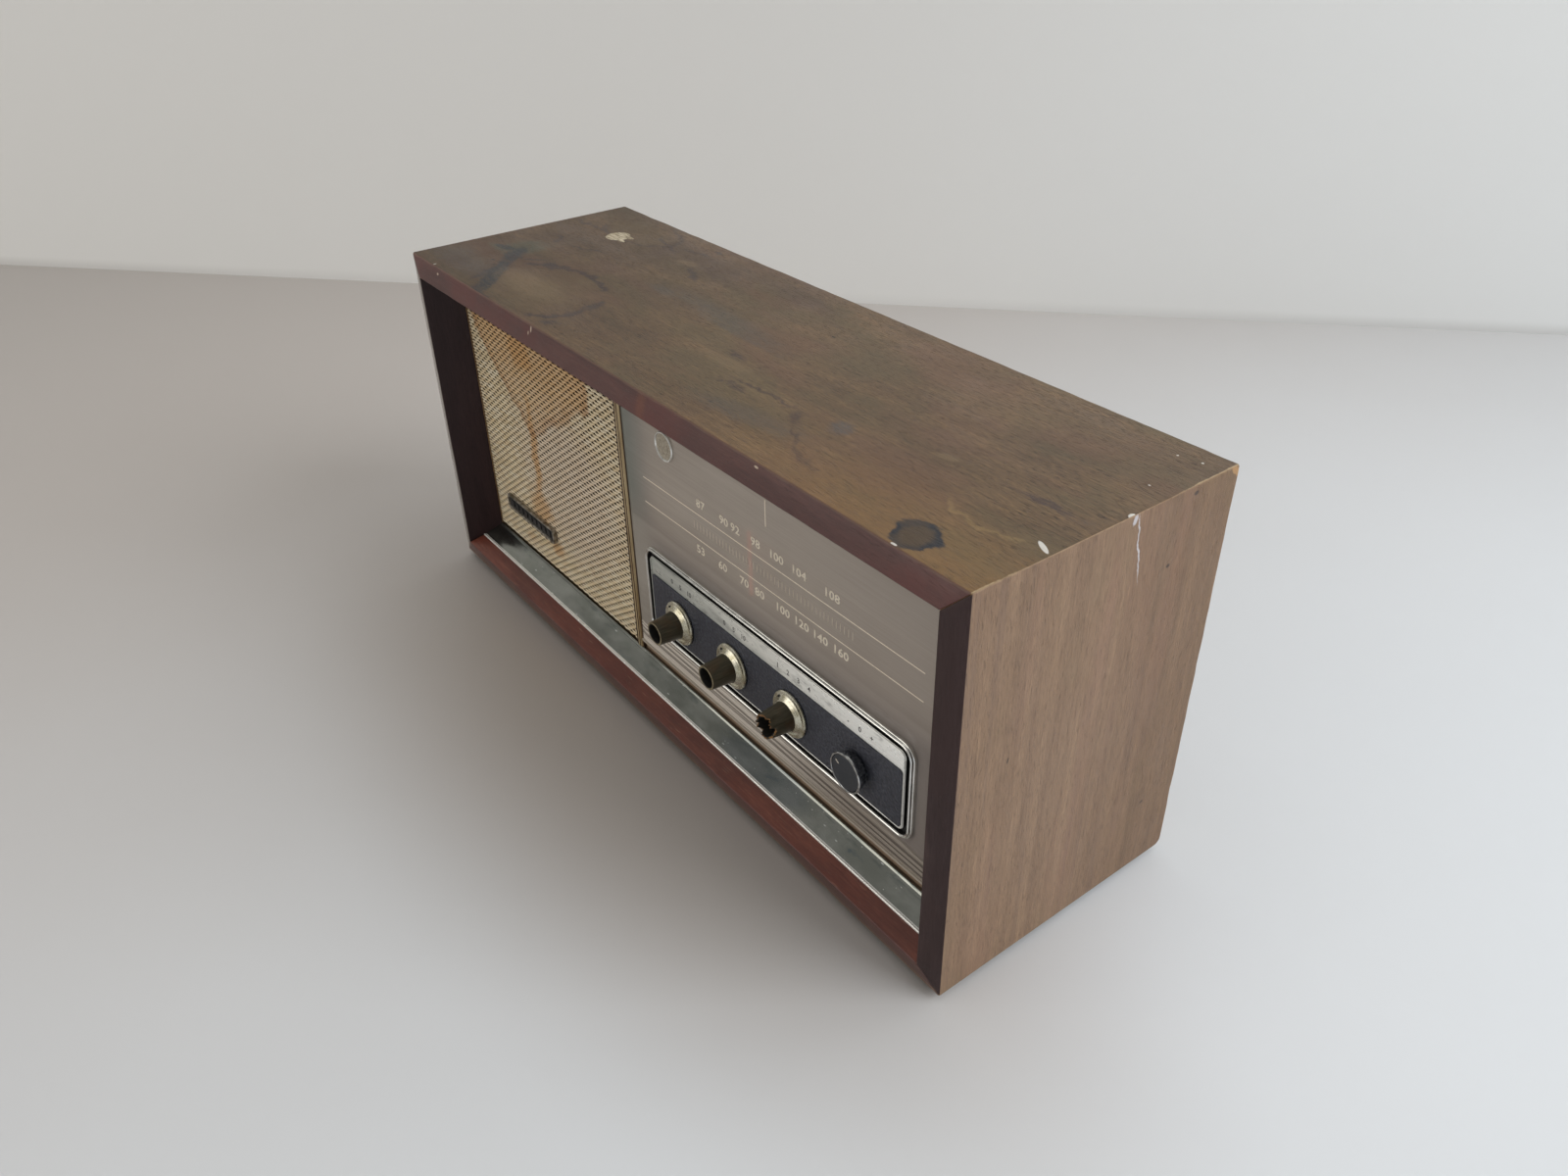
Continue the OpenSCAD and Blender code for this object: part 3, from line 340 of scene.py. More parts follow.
def plate(bm, w, h, r, thick, edge, centre, y0, steps=8):
    """A rounded plate with softened front edges."""
    levels = [(0, 0), (0, thick - edge), (edge * 0.3, thick - edge * 0.3), (edge, thick)]
    rings = [[bm.verts.new(point) for point in outline(w, h, r, inset, reach, centre, y0, steps)]
        for inset, reach in levels]
    skin(bm, rings)
    bm.faces.new(rings[-1])
    bm.faces.new(rings[0][::-1])

def swept(bm, section, half):
    """Runs a closed (y, z) section along X; half(y) gives the half length at a depth."""
    ends = [[bm.verts.new((side * half(y), y, z)) for y, z in section] for side in (-1, 1)]
    skin(bm, ends)
    bm.faces.new(ends[0][::-1])
    bm.faces.new(ends[1])

def tidy_normals(bm, merge=1e-4):
    bmesh.ops.remove_doubles(bm, verts=bm.verts, dist=merge)
    outwards(bm)

# %% [markdown]
# ## Walnut
# The top is straight-grained walnut veneer: fine fibres, short dark pores, and soft patches of
# red, grey and olive brown. Stretching noise along the grain makes all three. The same recipe,
# turned and with longer bands, serves the side board.

# %% Walnut grain
def grain(finish, along, shades, seed, band=(0.16, 0.0035), dark=0.5, share=0.6):
    """Straight grain along one axis (0, 1 or 2), as a colour and a height."""
    def stretched(fine, long):
        scale = [fine] * 3
        scale[along] = long
        return finish.vector("ADD", finish.scaled(tuple(scale)), (seed, seed * 1.7, seed * 0.6))
    bands = finish.noise(stretched(*band), detail=5, rough=0.6, warp=0.3)
    fibres = finish.noise(stretched(1.5, 0.09), detail=5, rough=0.75)
    hair = finish.noise(stretched(4.0, 0.4), detail=3, rough=0.6)
    body = fibres * (1.0 - share) + bands * share
    color = body.ramp(*shades)
    pores = finish.noise(stretched(2.2, 0.24), rough=0.65).step(0.55, 0.66)
    color = color.tint(pores * dark, color.times((150, 132, 124)))
    color = color.tint(hair.step(0.46, 0.72, 0.0, dark), color.times((305, 303, 298)))
    return color, hair * 0.5 - pores

top_shades = ((0.3, (66, 50, 34)), (0.45, (90, 70, 49)), (0.55, (107, 84, 58)),
    (0.7, (137, 110, 75)))
side_shades = ((0.3, (104, 80, 62)), (0.45, (128, 102, 80)), (0.55, (138, 111, 87)),
    (0.7, (161, 131, 104)))

walnut_top = Finish("walnut_top")
color, height = grain(walnut_top, 0, top_shades, seed=3.1, band=(0.05, 0.014), dark=1.0,
    share=0.36)
olive = walnut_top.noise((0.014, 0.035, 0.02), detail=5, rough=0.6)
ruddy = walnut_top.noise(walnut_top.vector("ADD", walnut_top.scaled((0.012, 0.03, 0.02)),
    (7, 3, 1)), detail=5, rough=0.6)
color = color.tint(olive.step(0.44, 0.62, 0.0, 0.5), (94, 85, 65))
color = color.tint(ruddy.step(0.48, 0.66, 0.0, 0.5), (104, 75, 58))
print("walnut nodes", len(walnut_top.tree.nodes))

# %% [markdown]
# The marks on the top tell the radio's age: a blue-black band where something wet stood, thin
# dark runs with feathered ends, a ring left by a pot, and one long chip in the veneer. Each mark
# is a few slanting ovals. Noise makes their edges ragged along the grain.

# %% Marks on the top
feather = walnut_top.noise((0.16, 0.5, 0.4), detail=6, rough=0.7)
wandering = walnut_top.strayed(0.16, 9.0)
darkness = walnut_top.noise((0.4, 1.3, 1), detail=5, rough=0.8).step(0.32, 0.6, 0.25, 1.0)

def marked(color, ovals, tint, share, amount=0.5, soft=0.15, where=None):
    mask = walnut_top.patch(ovals, feather, amount, soft, where=where)
    return color.tint(mask * darkness * share, tint)

color = color.tint(walnut_top.axes()[0].step(30, -150), color.times((214, 208, 204)))
color = marked(color, ((-75, 40, 26, 9, -8), (-112, 38, 8, 12, 12), (-18, 46, 20, 6, -6)),
    (76, 58, 50), 0.55, 0.9, 0.6)

def old_ring(color, place, half, inside, line, share, gaps):
    """The mark of a wet foot: a broken dark outline, and a paler middle."""
    reach = walnut_top.oval(place, half, where=wandering)
    reach = (feather - 0.5) * 0.22 + reach
    color = color.tint(reach.step(1.0, 0.7, 0.0, 0.12), inside)
    edge = abs(reach - 1.0).step(0.09, 0.01)
    broken = walnut_top.noise(0.045, detail=2).step(gaps, gaps + 0.12)
    return color.tint(edge * broken * share, line)

color = old_ring(color, (-104, -35), (39, 25), (122, 103, 74), (56, 44, 44), 0.8, 0.42)
color = old_ring(color, (-143, 43), (27, 14), (118, 100, 76), (62, 50, 46), 0.7, 0.42)
color = marked(color, ((-20, 8, 36, 5, -4), (-164, -44, 30, 8, 0), (60, -40, 26, 5, 8),
    (-66, 6, 9, 3, 0), (-4, 2, 26, 2, -2)), (82, 80, 76), 0.5, 0.9, 0.6)
color = marked(color, ((-161, -13, 9, 11, -30), (-168, -22, 9, 3, 5)), (78, 78, 64), 0.85, 0.9, 0.4)
color = marked(color, ((-134, -42, 25, 4.2, -43), (-154, -22, 11, 4.6, -47),
    (-167, -20, 7, 2.2, 10)), (42, 46, 50), 1.0, 0.7, 0.3)
color = marked(color, ((-145, -20, 12, 1.0, 35), (-130, -16, 5, 2.4, 0), (-162, 6, 7, 1.0, -40),
    (-138, 9, 12, 0.9, 18), (-172, 30, 16, 1.3, 4), (-128, -17, 5, 2.4, 0), (-68, -27, 3, 6, 20),
    (-64, -51, 5, 2.2, 30), (-120, 42, 14, 1.1, -14), (-100, 46, 9, 1.2, 10),
    (-74, 27, 8, 1.8, -20), (-92, 54, 5, 1.4, 4)), (58, 48, 46), 0.9, 0.5, 0.4, wandering)
color = marked(color, ((73, -27, 5, 2.6, -50), (50, -24, 19, 1.1, 2), (97, -44, 10, 1.6, -20),
    (84, -37, 9, 1.0, -40), (170, -6, 12, 2.0, 0), (36, -29, 8, 1.2, 0), (16, -11, 5, 1, 0)),
    (66, 52, 50), 0.85, 0.7, 0.5, wandering)
color = marked(color, ((90, -21, 5, 4, -30),), (74, 76, 80), 0.7, 0.7, 0.5)
knot = walnut_top.patch(((24.3, 28.9, 1.0, 0.6, 0), (-111, 9, 0.7, 0.5, 0),
    (-154, -33, 1.2, 0.8, 0), (-147, -36, 0.9, 0.6, 0)), soft=0.3)
color = color.tint(knot, (44, 34, 30))
pale = walnut_top.patch(((-89, 34.5, 6, 2.6, 12), (127.8, -8, 4.5, 1.8, 15), (-110, -36, 26, 8, 0),
    (18, -18, 14, 3, 0)), feather, 0.5, 0.5)
color = color.tint(pale * 0.4, (128, 108, 80))

part = walnut_top.axes()
sunned = part[1].step(-12, -60) * part[0].step(20, 170)
sunned = sunned * feather.step(0.25, 0.6, 0.4, 1.0)
color = color.tint(sunned * 0.5, (142, 108, 62))
pot_reach = walnut_top.oval((158.2, -49.0), (8.6, 7.4))
lobes = walnut_top.noise(0.13, detail=2)
pot_reach = (feather - 0.5) * 0.6 + pot_reach
pot_reach = (lobes - 0.5) * 0.7 + pot_reach
color = color.tint(pot_reach.step(0.85, 1.15, 0.8, 0.0), (64, 54, 44))
pot_rim = pot_reach.step(0.5, 0.95) * pot_reach.step(1.18, 1.0)
pot_rim = pot_rim * lobes.step(0.38, 0.6, 0.55, 1.0)
color = color.tint(pot_rim, (40, 41, 47))
arc = abs(walnut_top.oval((165, -8), (24, 24), 0, where=wandering) - 1.0)
arc = arc.step(0.05, 0.01) * part[1].step(-24, -29)
color = color.tint(arc * 0.3, (158, 132, 86))

bare = walnut_top.noise((0.25, 2.6, 1), detail=3).ramp((0.38, (118, 100, 76)),
    (0.5, (174, 160, 132)), (0.65, (210, 198, 172)))
chip = walnut_top.patch(((-146.4, 30.8, 6.2, 6.0, 8), (-142.0, 33.6, 4.4, 1.4, 8),
    (-141, 28.6, 4.4, 1.2, -4)), feather, 0.16, 0.08)
color = color.tint(chip, bare)
white_chips = ((185.6, -25.6, 3.6, 0.9, -28), (189.8, 8.0, 1.1, 1.4, 0), (182.1, 51.8, 0.5, 0.4, 0),
    (180.8, 27.1, 0.5, 0.3, 0), (-165.8, -57.0, 0.3, 0.9, 0), (157.6, -57.4, 1.3, 0.5, 0),
    (173.8, 50, 0.4, 0.4, 0))
color = color.tint(walnut_top.patch(white_chips, feather, 0.15, 0.12), (212, 208, 200))
rough_edge = walnut_top.noise((1, 0.35, 0.5), rough=0.7)
reach = rough_edge * 1.4 + part[0]
reach = reach + abs(part[1] + 6).step(16, 52, -0.75, 0.1)
color = color.tint(reach.step(190.0, 190.35, 0.0, 0.85), (178, 154, 120))
walnut_top.paint(color, height - chip * 2.0, 0.09, rough=olive.step(0.3, 0.7, 0.42, 0.6))
print("marked walnut nodes", len(walnut_top.tree.nodes))

# %% Walnut side
walnut_side = Finish("walnut_side")
color, height = grain(walnut_side, 2, side_shades, seed=8.4, band=(0.14, 0.005), dark=0.4,
    share=0.5)
cloud = walnut_side.noise((0.03, 0.03, 0.012), rough=0.6)
color = color.tint(cloud.step(0.48, 0.66, 0.0, 0.4), (136, 117, 92))
streak = walnut_side.noise((0.2, 0.2, 0.004))
color = color.tint(streak.step(0.54, 0.66, 0.0, 0.28), (114, 92, 80))
pink = walnut_side.noise((0.06, 0.06, 0.006), detail=3)
color = color.tint(pink.step(0.5, 0.7, 0.0, 0.24), (156, 117, 98))
swaying = walnut_side.strayed(0.22, 3.0)
torn = walnut_side.noise(0.9, detail=3)
right_only = walnut_side.axes()[0].step(100, 120)
split = walnut_side.patch(((13.6, 157.0, 12.5, 0.34, -80), (9.6, 168.6, 1.9, 1.0, 70)), torn, 0.5,
    0.3, "yz", swaying)
color = color.tint(split * right_only, (196, 192, 196))
dots = walnut_side.patch(((30.8, 144.0, 0.9, 0.7, 0), (42.1, 35.7, 0.9, 0.6, 30),
    (39.0, 167.5, 1.1, 0.8, 0), (-36, 99, 1.2, 0.4, 80)), soft=0.3, plane="yz")
color = color.tint(dots * (right_only * 0.8), (58, 44, 40))
part = walnut_side.axes()
edge = walnut_side.noise((1, 0.3, 0.3), rough=0.7) * 1.6 + part[2]
color = color.tint(edge.step(170.5, 171.2, 0.0, 0.7), (178, 150, 118))
raw_corner = walnut_side.patch(((58.9, 168.6, 3.0, 1.2, -40),), torn, 0.4, 0.2, "yz")
color = color.tint(raw_corner * right_only, (190, 152, 108))
front_edge = walnut_side.noise((1, 0.3, 0.3)) * -1.0 + part[1]
color = color.tint(front_edge.step(-58.1, -58.7, 0.0, 0.7), (158, 134, 110))
color = color.tint(part[1].step(-10, 50), color.times((228, 222, 212)))
walnut_side.paint(color, height, 0.05, rough=cloud.step(0.3, 0.7, 0.45, 0.6))
print("side nodes", len(walnut_side.tree.nodes))

# %% [markdown]
# The profiled front edges are stained a dark mahogany red, and the stain is thinner where hands
# and dusters have rubbed the ridge. The inner slopes of the side boards are nearly black. The
# outer slope of the left board is a lighter, greyer copy of the stain, as a painted highlight.

# %% Mahogany stain
def stained(name, shades, along, rub=0.4, rubbed=(124, 84, 66), **sockets):
    finish = Finish(name, rough=0.42, **sockets)
    color, height = grain(finish, along, shades, seed=5.5, band=(0.08, 0.012), dark=0.4)
    cloud = finish.noise((0.02, 0.05, 0.02), rough=0.6)
    color = color.tint(cloud.step(0.45, 0.66, 0.0, rub), rubbed)
    return finish, color, height

mahogany, color, height = stained("mahogany_top",
    ((0.3, (62, 37, 36)), (0.45, (78, 47, 45)), (0.55, (88, 54, 51)), (0.7, (110, 71, 62))), 0, 0.6,
    (104, 52, 48))
scraped = mahogany.noise((0.12, 1, 0.9), rough=0.6)
orange = mahogany.patch(((20.9, 166.2, 2.6, 7, 0),), scraped, 0.7, 0.7, "xz")
color = color.tint(orange * 0.5, (122, 72, 50))
specks = mahogany.patch(((-66, 168.6, 0.5, 1.3, 0), (-68, 166.6, 0.4, 0.8, 0),
    (-160, 167.5, 0.8, 0.5, 0), (92, 168.9, 1.1, 0.4, 0)), soft=0.3, plane="xz")
color = color.tint(specks, (196, 176, 156))
part = mahogany.axes()
rubbed = scraped * 1.2 + part[2]
color = color.tint(rubbed.step(170.1, 170.8, 0.0, 0.6), (120, 94, 78))
low_rub = scraped * -1.5 + part[2]
color = color.tint(low_rub.step(5.4, 4.2, 0.0, 0.75), (140, 116, 96))
color = color.tint(part[2].step(13, 11) * 0.5, (98, 76, 68))
mahogany.paint(color, height, 0.03)

mahogany_red, color, height = stained("mahogany_red",
    ((0.3, (74, 33, 25)), (0.45, (97, 46, 34)), (0.55, (110, 57, 43)), (0.7, (142, 84, 66))), 0,
    0.4, (62, 34, 30))
part = mahogany_red.axes()
handled = mahogany_red.noise((0.12, 1, 1)) * 1.6 + part[1]
color = color.tint(handled.step(-59.3, -60.0, 0.0, 0.55), (146, 106, 88))
scratch = mahogany_red.noise((0.1, 2.5, 2.5), detail=3).step(0.66, 0.72)
color = color.tint(scratch * 0.5, (168, 126, 104))
mahogany_red.paint(color, height, 0.03)
mahogany_end, color, height = stained("mahogany_side",
    ((0.3, (42, 28, 27)), (0.45, (52, 35, 34)), (0.55, (58, 42, 42)), (0.7, (74, 56, 53))), 2, 0.3,
    (66, 45, 42), Specular_IOR_Level=0.25)
mahogany_end.paint(color, height, 0.02)
# The left board's outer slope is a lighter, greyer copy of the stain: painted highlight for the
# sheen along that slope.
left_slope_painted_sheen, color, height = stained("mahogany_left_painted_sheen",
    ((0.3, (84, 74, 70)), (0.5, (110, 100, 94)), (0.7, (140, 130, 122))), 2, 0.3, (120, 108, 100),
    Coat_Weight=0.8, Coat_Roughness=0.12)
left_slope_painted_sheen.paint(color, height, 0.02)
near_black, color, height = stained("dark_slope",
    ((0.3, (34, 21, 23)), (0.5, (46, 31, 33)), (0.75, (60, 42, 43))), 2, 0.2, (50, 32, 34),
    Specular_IOR_Level=0.25)
near_black.paint(color, height, 0.03)
raw_wood = Finish("raw_wood", rough=0.75)
color, height = grain(raw_wood, 0, ((0.3, (120, 92, 64)), (0.5, (152, 122, 88)),
    (0.7, (176, 146, 108))), seed=1.2, dark=0.3)
raw_wood.paint(color, height, 0.08)

# %% [markdown]
# ## The four boards
# Each board has one section: an outer slope, a ridge, a steep inner slope, and flat faces
# behind. The section is cut off at 45 degrees at both ends. The edges are rounded with a bevel,
# then the boards are cut into short lengths so that noise can dent the rounded edges a little.

# %% Boards
def make_board(length, place, dent=0.16):
    """A board with its grain along X; place(u, depth, y) puts each of its points into the case."""
    section = [(FRONT + 2.4, 0.0), (FRONT, RIDGE_IN), (FRONT + RECESS, BOARD), (BACK, BOARD),
        (BACK, 0.0)]
    bm = bmesh.new()
    rows = [[bm.verts.new((side * (length / 2 - d), y, d)) for y, d in section] for side in (-1, 1)]
    OUTER, RIDGE, SLOPE, RAW = range(4)
    for face, kind in zip(skin(bm, rows), (RIDGE, SLOPE, RAW, RAW, OUTER)):
        face.material_index = kind
    for row in rows:
        bm.faces.new(row).material_index = RAW
    outwards(bm)
    bm.edges.ensure_lookup_table()
    bmesh.ops.bevel(bm, geom=list(bm.edges), offset=0.55, segments=3, profile=0.5, affect="EDGES",
        material=-1)
    for step in range(-int(length / 8), int(length / 8) + 1):
        cut(bm, (step * 4.0 + 0.37, 0, 0), (1, 0, 0))
    for v in bm.verts:
        u, y, d = v.co
        if min(math.hypot(y - sy, d - sd) for sy, sd in section) < 1.2:
            n = noise.noise(Vector((u * 0.09, y * 0.2, d * 0.2 + length)))
            push = dent * max(0.0, n + 0.5 * noise.noise(Vector((u * 0.35, y, d))) + 0.25)
            v.co.y += push if y < 0 else -push
            v.co.z += push if d < 5 else 0
    for v in bm.verts:
        v.co = Vector(place(v.co.x, v.co.z, v.co.y))
    round_back(bm)
    outwards(bm)
    if bm.calc_volume(signed=True) < 0:    # the whole board came out inside out
        bmesh.ops.reverse_faces(bm, faces=bm.faces[:])
    return bm

def cut(bm, place, way):
    geom = list(bm.verts) + list(bm.edges) + list(bm.faces)
    bmesh.ops.bisect_plane(bm, geom=geom, plane_co=place, plane_no=way)

def round_back(bm, radius=4.5, cuts=6):
    """Rounds the lower back edge: cuts the corner finely, then draws it in onto an arc."""
    mid_y, mid_z = BACK - radius, BASE + radius
    if min(v.co.z for v in bm.verts) > mid_z:
        return
    for k in range(cuts):
        out = radius * math.sin(math.pi / 2 * k / cuts)
        cut(bm, (0, mid_y + out, 0), (0, 1, 0))
        cut(bm, (0, 0, mid_z - out), (0, 0, 1))
    for v in bm.verts:
        dy, dz = v.co.y - mid_y, v.co.z - mid_z
        far = math.hypot(dy, dz)
        if dy > 0 and dz < 0 and far > radius:
            v.co.y, v.co.z = mid_y + dy * radius / far, mid_z + dz * radius / far

mid_z = (BASE + TOP) / 2
half = CASE_W / 2
boards = (
    ("top", CASE_W, lambda u, d, y: (u, y, TOP - d), walnut_top, mahogany, near_black),
    ("bottom", CASE_W, lambda u, d, y: (u, y, BASE + d), walnut_top, mahogany, mahogany_red),
    ("left", TOP - BASE, lambda u, d, y: (d - half, y, mid_z + u),
        walnut_side, left_slope_painted_sheen, near_black),
    ("right", TOP - BASE, lambda u, d, y: (half - d, y, mid_z + u),
        walnut_side, mahogany_end, near_black),
)
for side, length, place, *finishes in boards:
    bm = make_board(length, place)
    print(side, "board", len(bm.faces), "faces")
    keep_piece(f"cabinet_{side}_board", bm, (*finishes, raw_wood),
        stands_for=(f"cabinet_{side}",), smooth=35)

# %% [markdown]
# ## Shapes that repeat
# The floats of the speaker cloth, the ticks of the scale and the ridges of the knob repeat. One
# node tree sets a shape out in rows, and a second sets it out round an axis. Each copy gets a
# random number, "tone", which the finishes use to vary the colour.

# %% Node trees
class Steps(Nodes):
    """A geometry tree with a short call for each node."""
    def __init__(self, name, **inputs):
        self.tree = bpy.data.node_groups.new(name, "GeometryNodeTree")
        add = self.tree.interface.new_socket
        add("Geometry", in_out="OUTPUT", socket_type="NodeSocketGeometry")
        for label, (kind, value) in inputs.items():
            socket = add(label, in_out="INPUT", socket_type="NodeSocket" + kind)
            if value is not None:
                socket.default_value = value
        outputs = self.tree.nodes.new("NodeGroupInput").outputs
        self.given = {socket.name: Wire(self, socket) for socket in outputs}

    def node(self, kind, out=0, **inputs):
        return self.add(kind, out, {key.replace("_", " "): value for key, value in inputs.items()})

    def finish(self, x, z, count, turn):
        """Puts copies of the shape at (x, z) from the start, each turned about Y."""
        place = self.add("ShaderNodeVectorMath", 0, {
            0: self.node("ShaderNodeCombineXYZ", X=x, Z=z), 1: self.given["Start"]})
        points = self.node("GeometryNodePoints", Count=count, Position=place)
        shape = self.node("GeometryNodeObjectInfo", "Geometry", Object=self.given["Shape"],
                          As_Instance=True)
        copies = self.node("GeometryNodeInstanceOnPoints", Points=points, Instance=shape,
                           Rotation=self.node("ShaderNodeCombineXYZ", Y=turn))
        named = self.add("GeometryNodeStoreNamedAttribute", 0, {
            "Name": "tone", "Geometry": copies,
            "Value": self.node("FunctionNodeRandomValue", 1, Seed=self.given["Seed"])},
            data_type="FLOAT", domain="INSTANCE")
        real = self.node("GeometryNodeRealizeInstances", Geometry=named)
        done = self.node("GeometryNodeSetMaterial", Geometry=real, Material=self.given["Finish"])
        self.put(self.tree.nodes.new("NodeGroupOutput"), 0, done)
        return self.tree

def rows_tree():
    s = Steps("rows", Shape=("Object", None), Columns=("Int", 2), Rows=("Int", 2),
              Across=("Float", 0.001), Up=("Float", 0.001), Wobble=("Float", 0.0),
              Start=("Vector", (0, 0, 0)), Seed=("Int", 1), Finish=("Material", None))
    index = s.node("GeometryNodeInputIndex")
    row = s.math("FLOOR", index / s.given["Columns"])
    column = index - row * s.given["Columns"]
    sway = s.node("FunctionNodeRandomValue", 1, Seed=s.given["Seed"]) - 0.5
    return s.finish(column * s.given["Across"], row * s.given["Up"],
                    s.given["Columns"] * s.given["Rows"], sway * s.given["Wobble"])

def ring_tree():
    s = Steps("ring", Shape=("Object", None), Count=("Int", 12), Radius=("Float", 0.01),
              Start=("Vector", (0, 0, 0)), Seed=("Int", 1), Finish=("Material", None))
    angle = s.node("GeometryNodeInputIndex") / s.given["Count"] * (2 * math.pi)
    return s.finish(s.math("COSINE", angle) * s.given["Radius"],
                    s.math("SINE", angle) * s.given["Radius"], s.given["Count"], angle * -1.0)

trees = {"rows": rows_tree(), "ring": ring_tree()}

def set_out(tree, shape, finish, **values):
    """Runs a tree on a shape; both the shape and the result are bmeshes in millimetres."""
    mesh = bpy.data.meshes.new("shape")
    bmesh.ops.scale(shape, vec=(MM,) * 3, verts=shape.verts)
    shape.to_mesh(mesh)
    mesh.shade_smooth()
    source = bpy.data.objects.new("shape", mesh)
    holder = bpy.data.objects.new("holder", bpy.data.meshes.new("holder"))
    for thing in (source, holder):
        bpy.context.scene.collection.objects.link(thing)
    modifier = holder.modifiers.new("tree", "NODES")
    modifier.node_group = trees[tree]
    given = dict(values, Shape=source, Finish=finish.material)
    for socket in trees[tree].interface.items_tree:
        if socket.in_out == "INPUT" and socket.name in given:
            modifier[socket.identifier] = given[socket.name]
    holder.update_tag()
    ready = holder.evaluated_get(bpy.context.evaluated_depsgraph_get())
    made = bpy.data.meshes.new_from_object(ready)
    holder.modifiers.clear()
    bpy.data.objects.remove(holder)
    bpy.data.objects.remove(source)
    bm = bmesh.new()
    bm.from_mesh(made)
    give(bm, 0, lambda at, way: True)
    bmesh.ops.scale(bm, vec=(1 / MM,) * 3, verts=bm.verts)
    return bm

# %% [markdown]
# ## Speaker cloth
# The cloth is a coarse plastic-and-cotton weave. In each row a raised cream strand and a
# lower one beside it float over five millimetres and dive at their ends, and every other row is
# shifted by half a float. A thin dark ground carries the strands as real shapes, so it shows
# as small dark holes in slanting lines; its dark brown is partly its own threads and partly
# painted shade in those holes. The strands are painted darker where they dive, as painted
# shade. Water has left a brown-edged stain down to the badge.

# %% Cloth finish
CLOTH = {"left": -171.9, "right": -29.9, "low": 23.2, "high": 152.4, "back": -42.0}
FLOAT_PITCH, ROW = 4.95, 1.715

def water_stain(finish):
    """How brown the cloth is, and how deep its tide line is, at a point."""
    strayed = finish.strayed(0.07, 14.0, detail=4, rough=0.6)
    x, _, z = finish.axes(strayed)
    over = z - 95.0 - (x * -0.86 - 99.8).larger(x * 0.58 + 67.3)
    over = over.smaller(x + 166.0).smaller(-53.0 - x)
    patchy = finish.noise(0.06, detail=3).step(0.38, 0.6, 0.3, 1.0)
    tide = over.step(-2.0, 1.0) * over.step(8.0, 1.5) * patchy
    tan = over.step(-1.5, 3.0) * z.step(100, 150, 0.38, 0.75)
    for place, half, share in (((-118, 138), (21, 14), 0.95), ((-116.4, 90), (4.6, 44), 0.8),
            ((-118, 55), (13, 11), 0.7), ((-105, 36.5), (8, 4.5), 0.75),
            ((-133, 31), (10, 4), 0.3)):
        near = finish.oval(place, half, 0, "xz", strayed).step(1.25, 0.35, 0.0, share)
        tan = tan.larger(near)
    return tan, tide

strand = Finish("cloth_strand", rough=0.6, Sheen_Weight=0.1)
tan, tide = water_stain(strand)
base = strand.attribute("tone").ramp((0.0, (232, 212, 174)), (0.45, (247, 230, 196)),
    (1.0, (254, 243, 217)))
fibre = strand.noise((0.8, 3, 7), detail=3)
base = base.tint(fibre.step(0.42, 0.66, 0.0, 0.25), (206, 178, 138))
dusty = strand.noise(0.05)
base = base.tint(dusty.step(0.45, 0.7, 0.0, 0.25), (210, 192, 160))
handled = strand.oval((-84, 80), (50, 42), 0, "xz").step(1.3, 0.5, 0.0, 0.6)
base = base.tint(handled, (228, 209, 190))
base = base.tint(tan, (220, 174, 116))
base = base.tint(tide * 0.45, (170, 116, 66))
# Painted shade: the strands turn darker and browner where they dive back toward the ground.
depth = strand.axes()[1].step(-42.95, -42.35, 0.0, 0.8)
strand.paint(base.tint(depth, (100, 68, 34)), strand.noise((3.0, 1.5, 9.0), detail=2), 0.1)

# The ground's dark brown is partly its own threads and partly painted shade in the holes between
# the strands.
ground = Finish("cloth_ground", rough=0.9)
tan, tide = water_stain(ground)
threads = ground.noise((0.7, 1, 6), detail=2)
shade = threads.ramp((0.35, (36, 23, 12)), (0.7, (62, 42, 24)))
ground.paint(shade.tint(tan * 0.7, (58, 32, 16)), threads, 0.1)

# %% Cloth floats
STRANDS = ((0.5, 0.76, 5.3, 0.55, 0.95, -0.38, -0.48, 5),
    (-0.5, -0.04, 3.75, 0.42, 0.7, 0.14, -0.22, 4))
THREAD = ((-0.9, 0.0), (0.1, 1.0), (0.9, 0.0), (0.1, -1.0))

def float_pair(length):
    """A raised strand and a lower one below it; both rise to the right and dive at their ends."""
    bm = bmesh.new()
    for x0, z0, long, wide, narrow, end_y, mid_y, cuts in STRANDS:
        rings = []
        for k in range(cuts + 1):
            t = k / cuts
            arch = math.sin(math.pi * t) ** 0.45 if 0 < t < 1 else 0.0
            u = (t - 0.5) * long * length
            x, y, z, w = (x0 + u, end_y + (mid_y - end_y) * arch, z0 + 0.1 * u,
                wide * (narrow + (1 - narrow) * arch))
            rings.append([bm.verts.new((x, y + dy * 0.42, z + dz * w)) for dy, dz in THREAD])
        skin(bm, rings)
        bm.faces.new(rings[0][::-1])
        bm.faces.new(rings[-1])
    outwards(bm)
    return bm

rows_total = int((CLOTH["high"] - CLOTH["low"]) / ROW)
columns = math.ceil((CLOTH["right"] - CLOTH["left"]) / FLOAT_PITCH)
start_x = CLOTH["left"] + 0.3 + FLOAT_PITCH / 2
start_z = CLOTH["low"] + ROW / 2
front_of_cloth = CLOTH["back"] - 0.35

def floats(length, count, rows, x, z, across, seed):
    return set_out("rows", float_pair(length), strand, Columns=count, Rows=rows, Across=across * MM,
        Up=2 * ROW * MM, Wobble=math.radians(3),
        Start=(x * MM, front_of_cloth * MM, z * MM), Seed=seed)

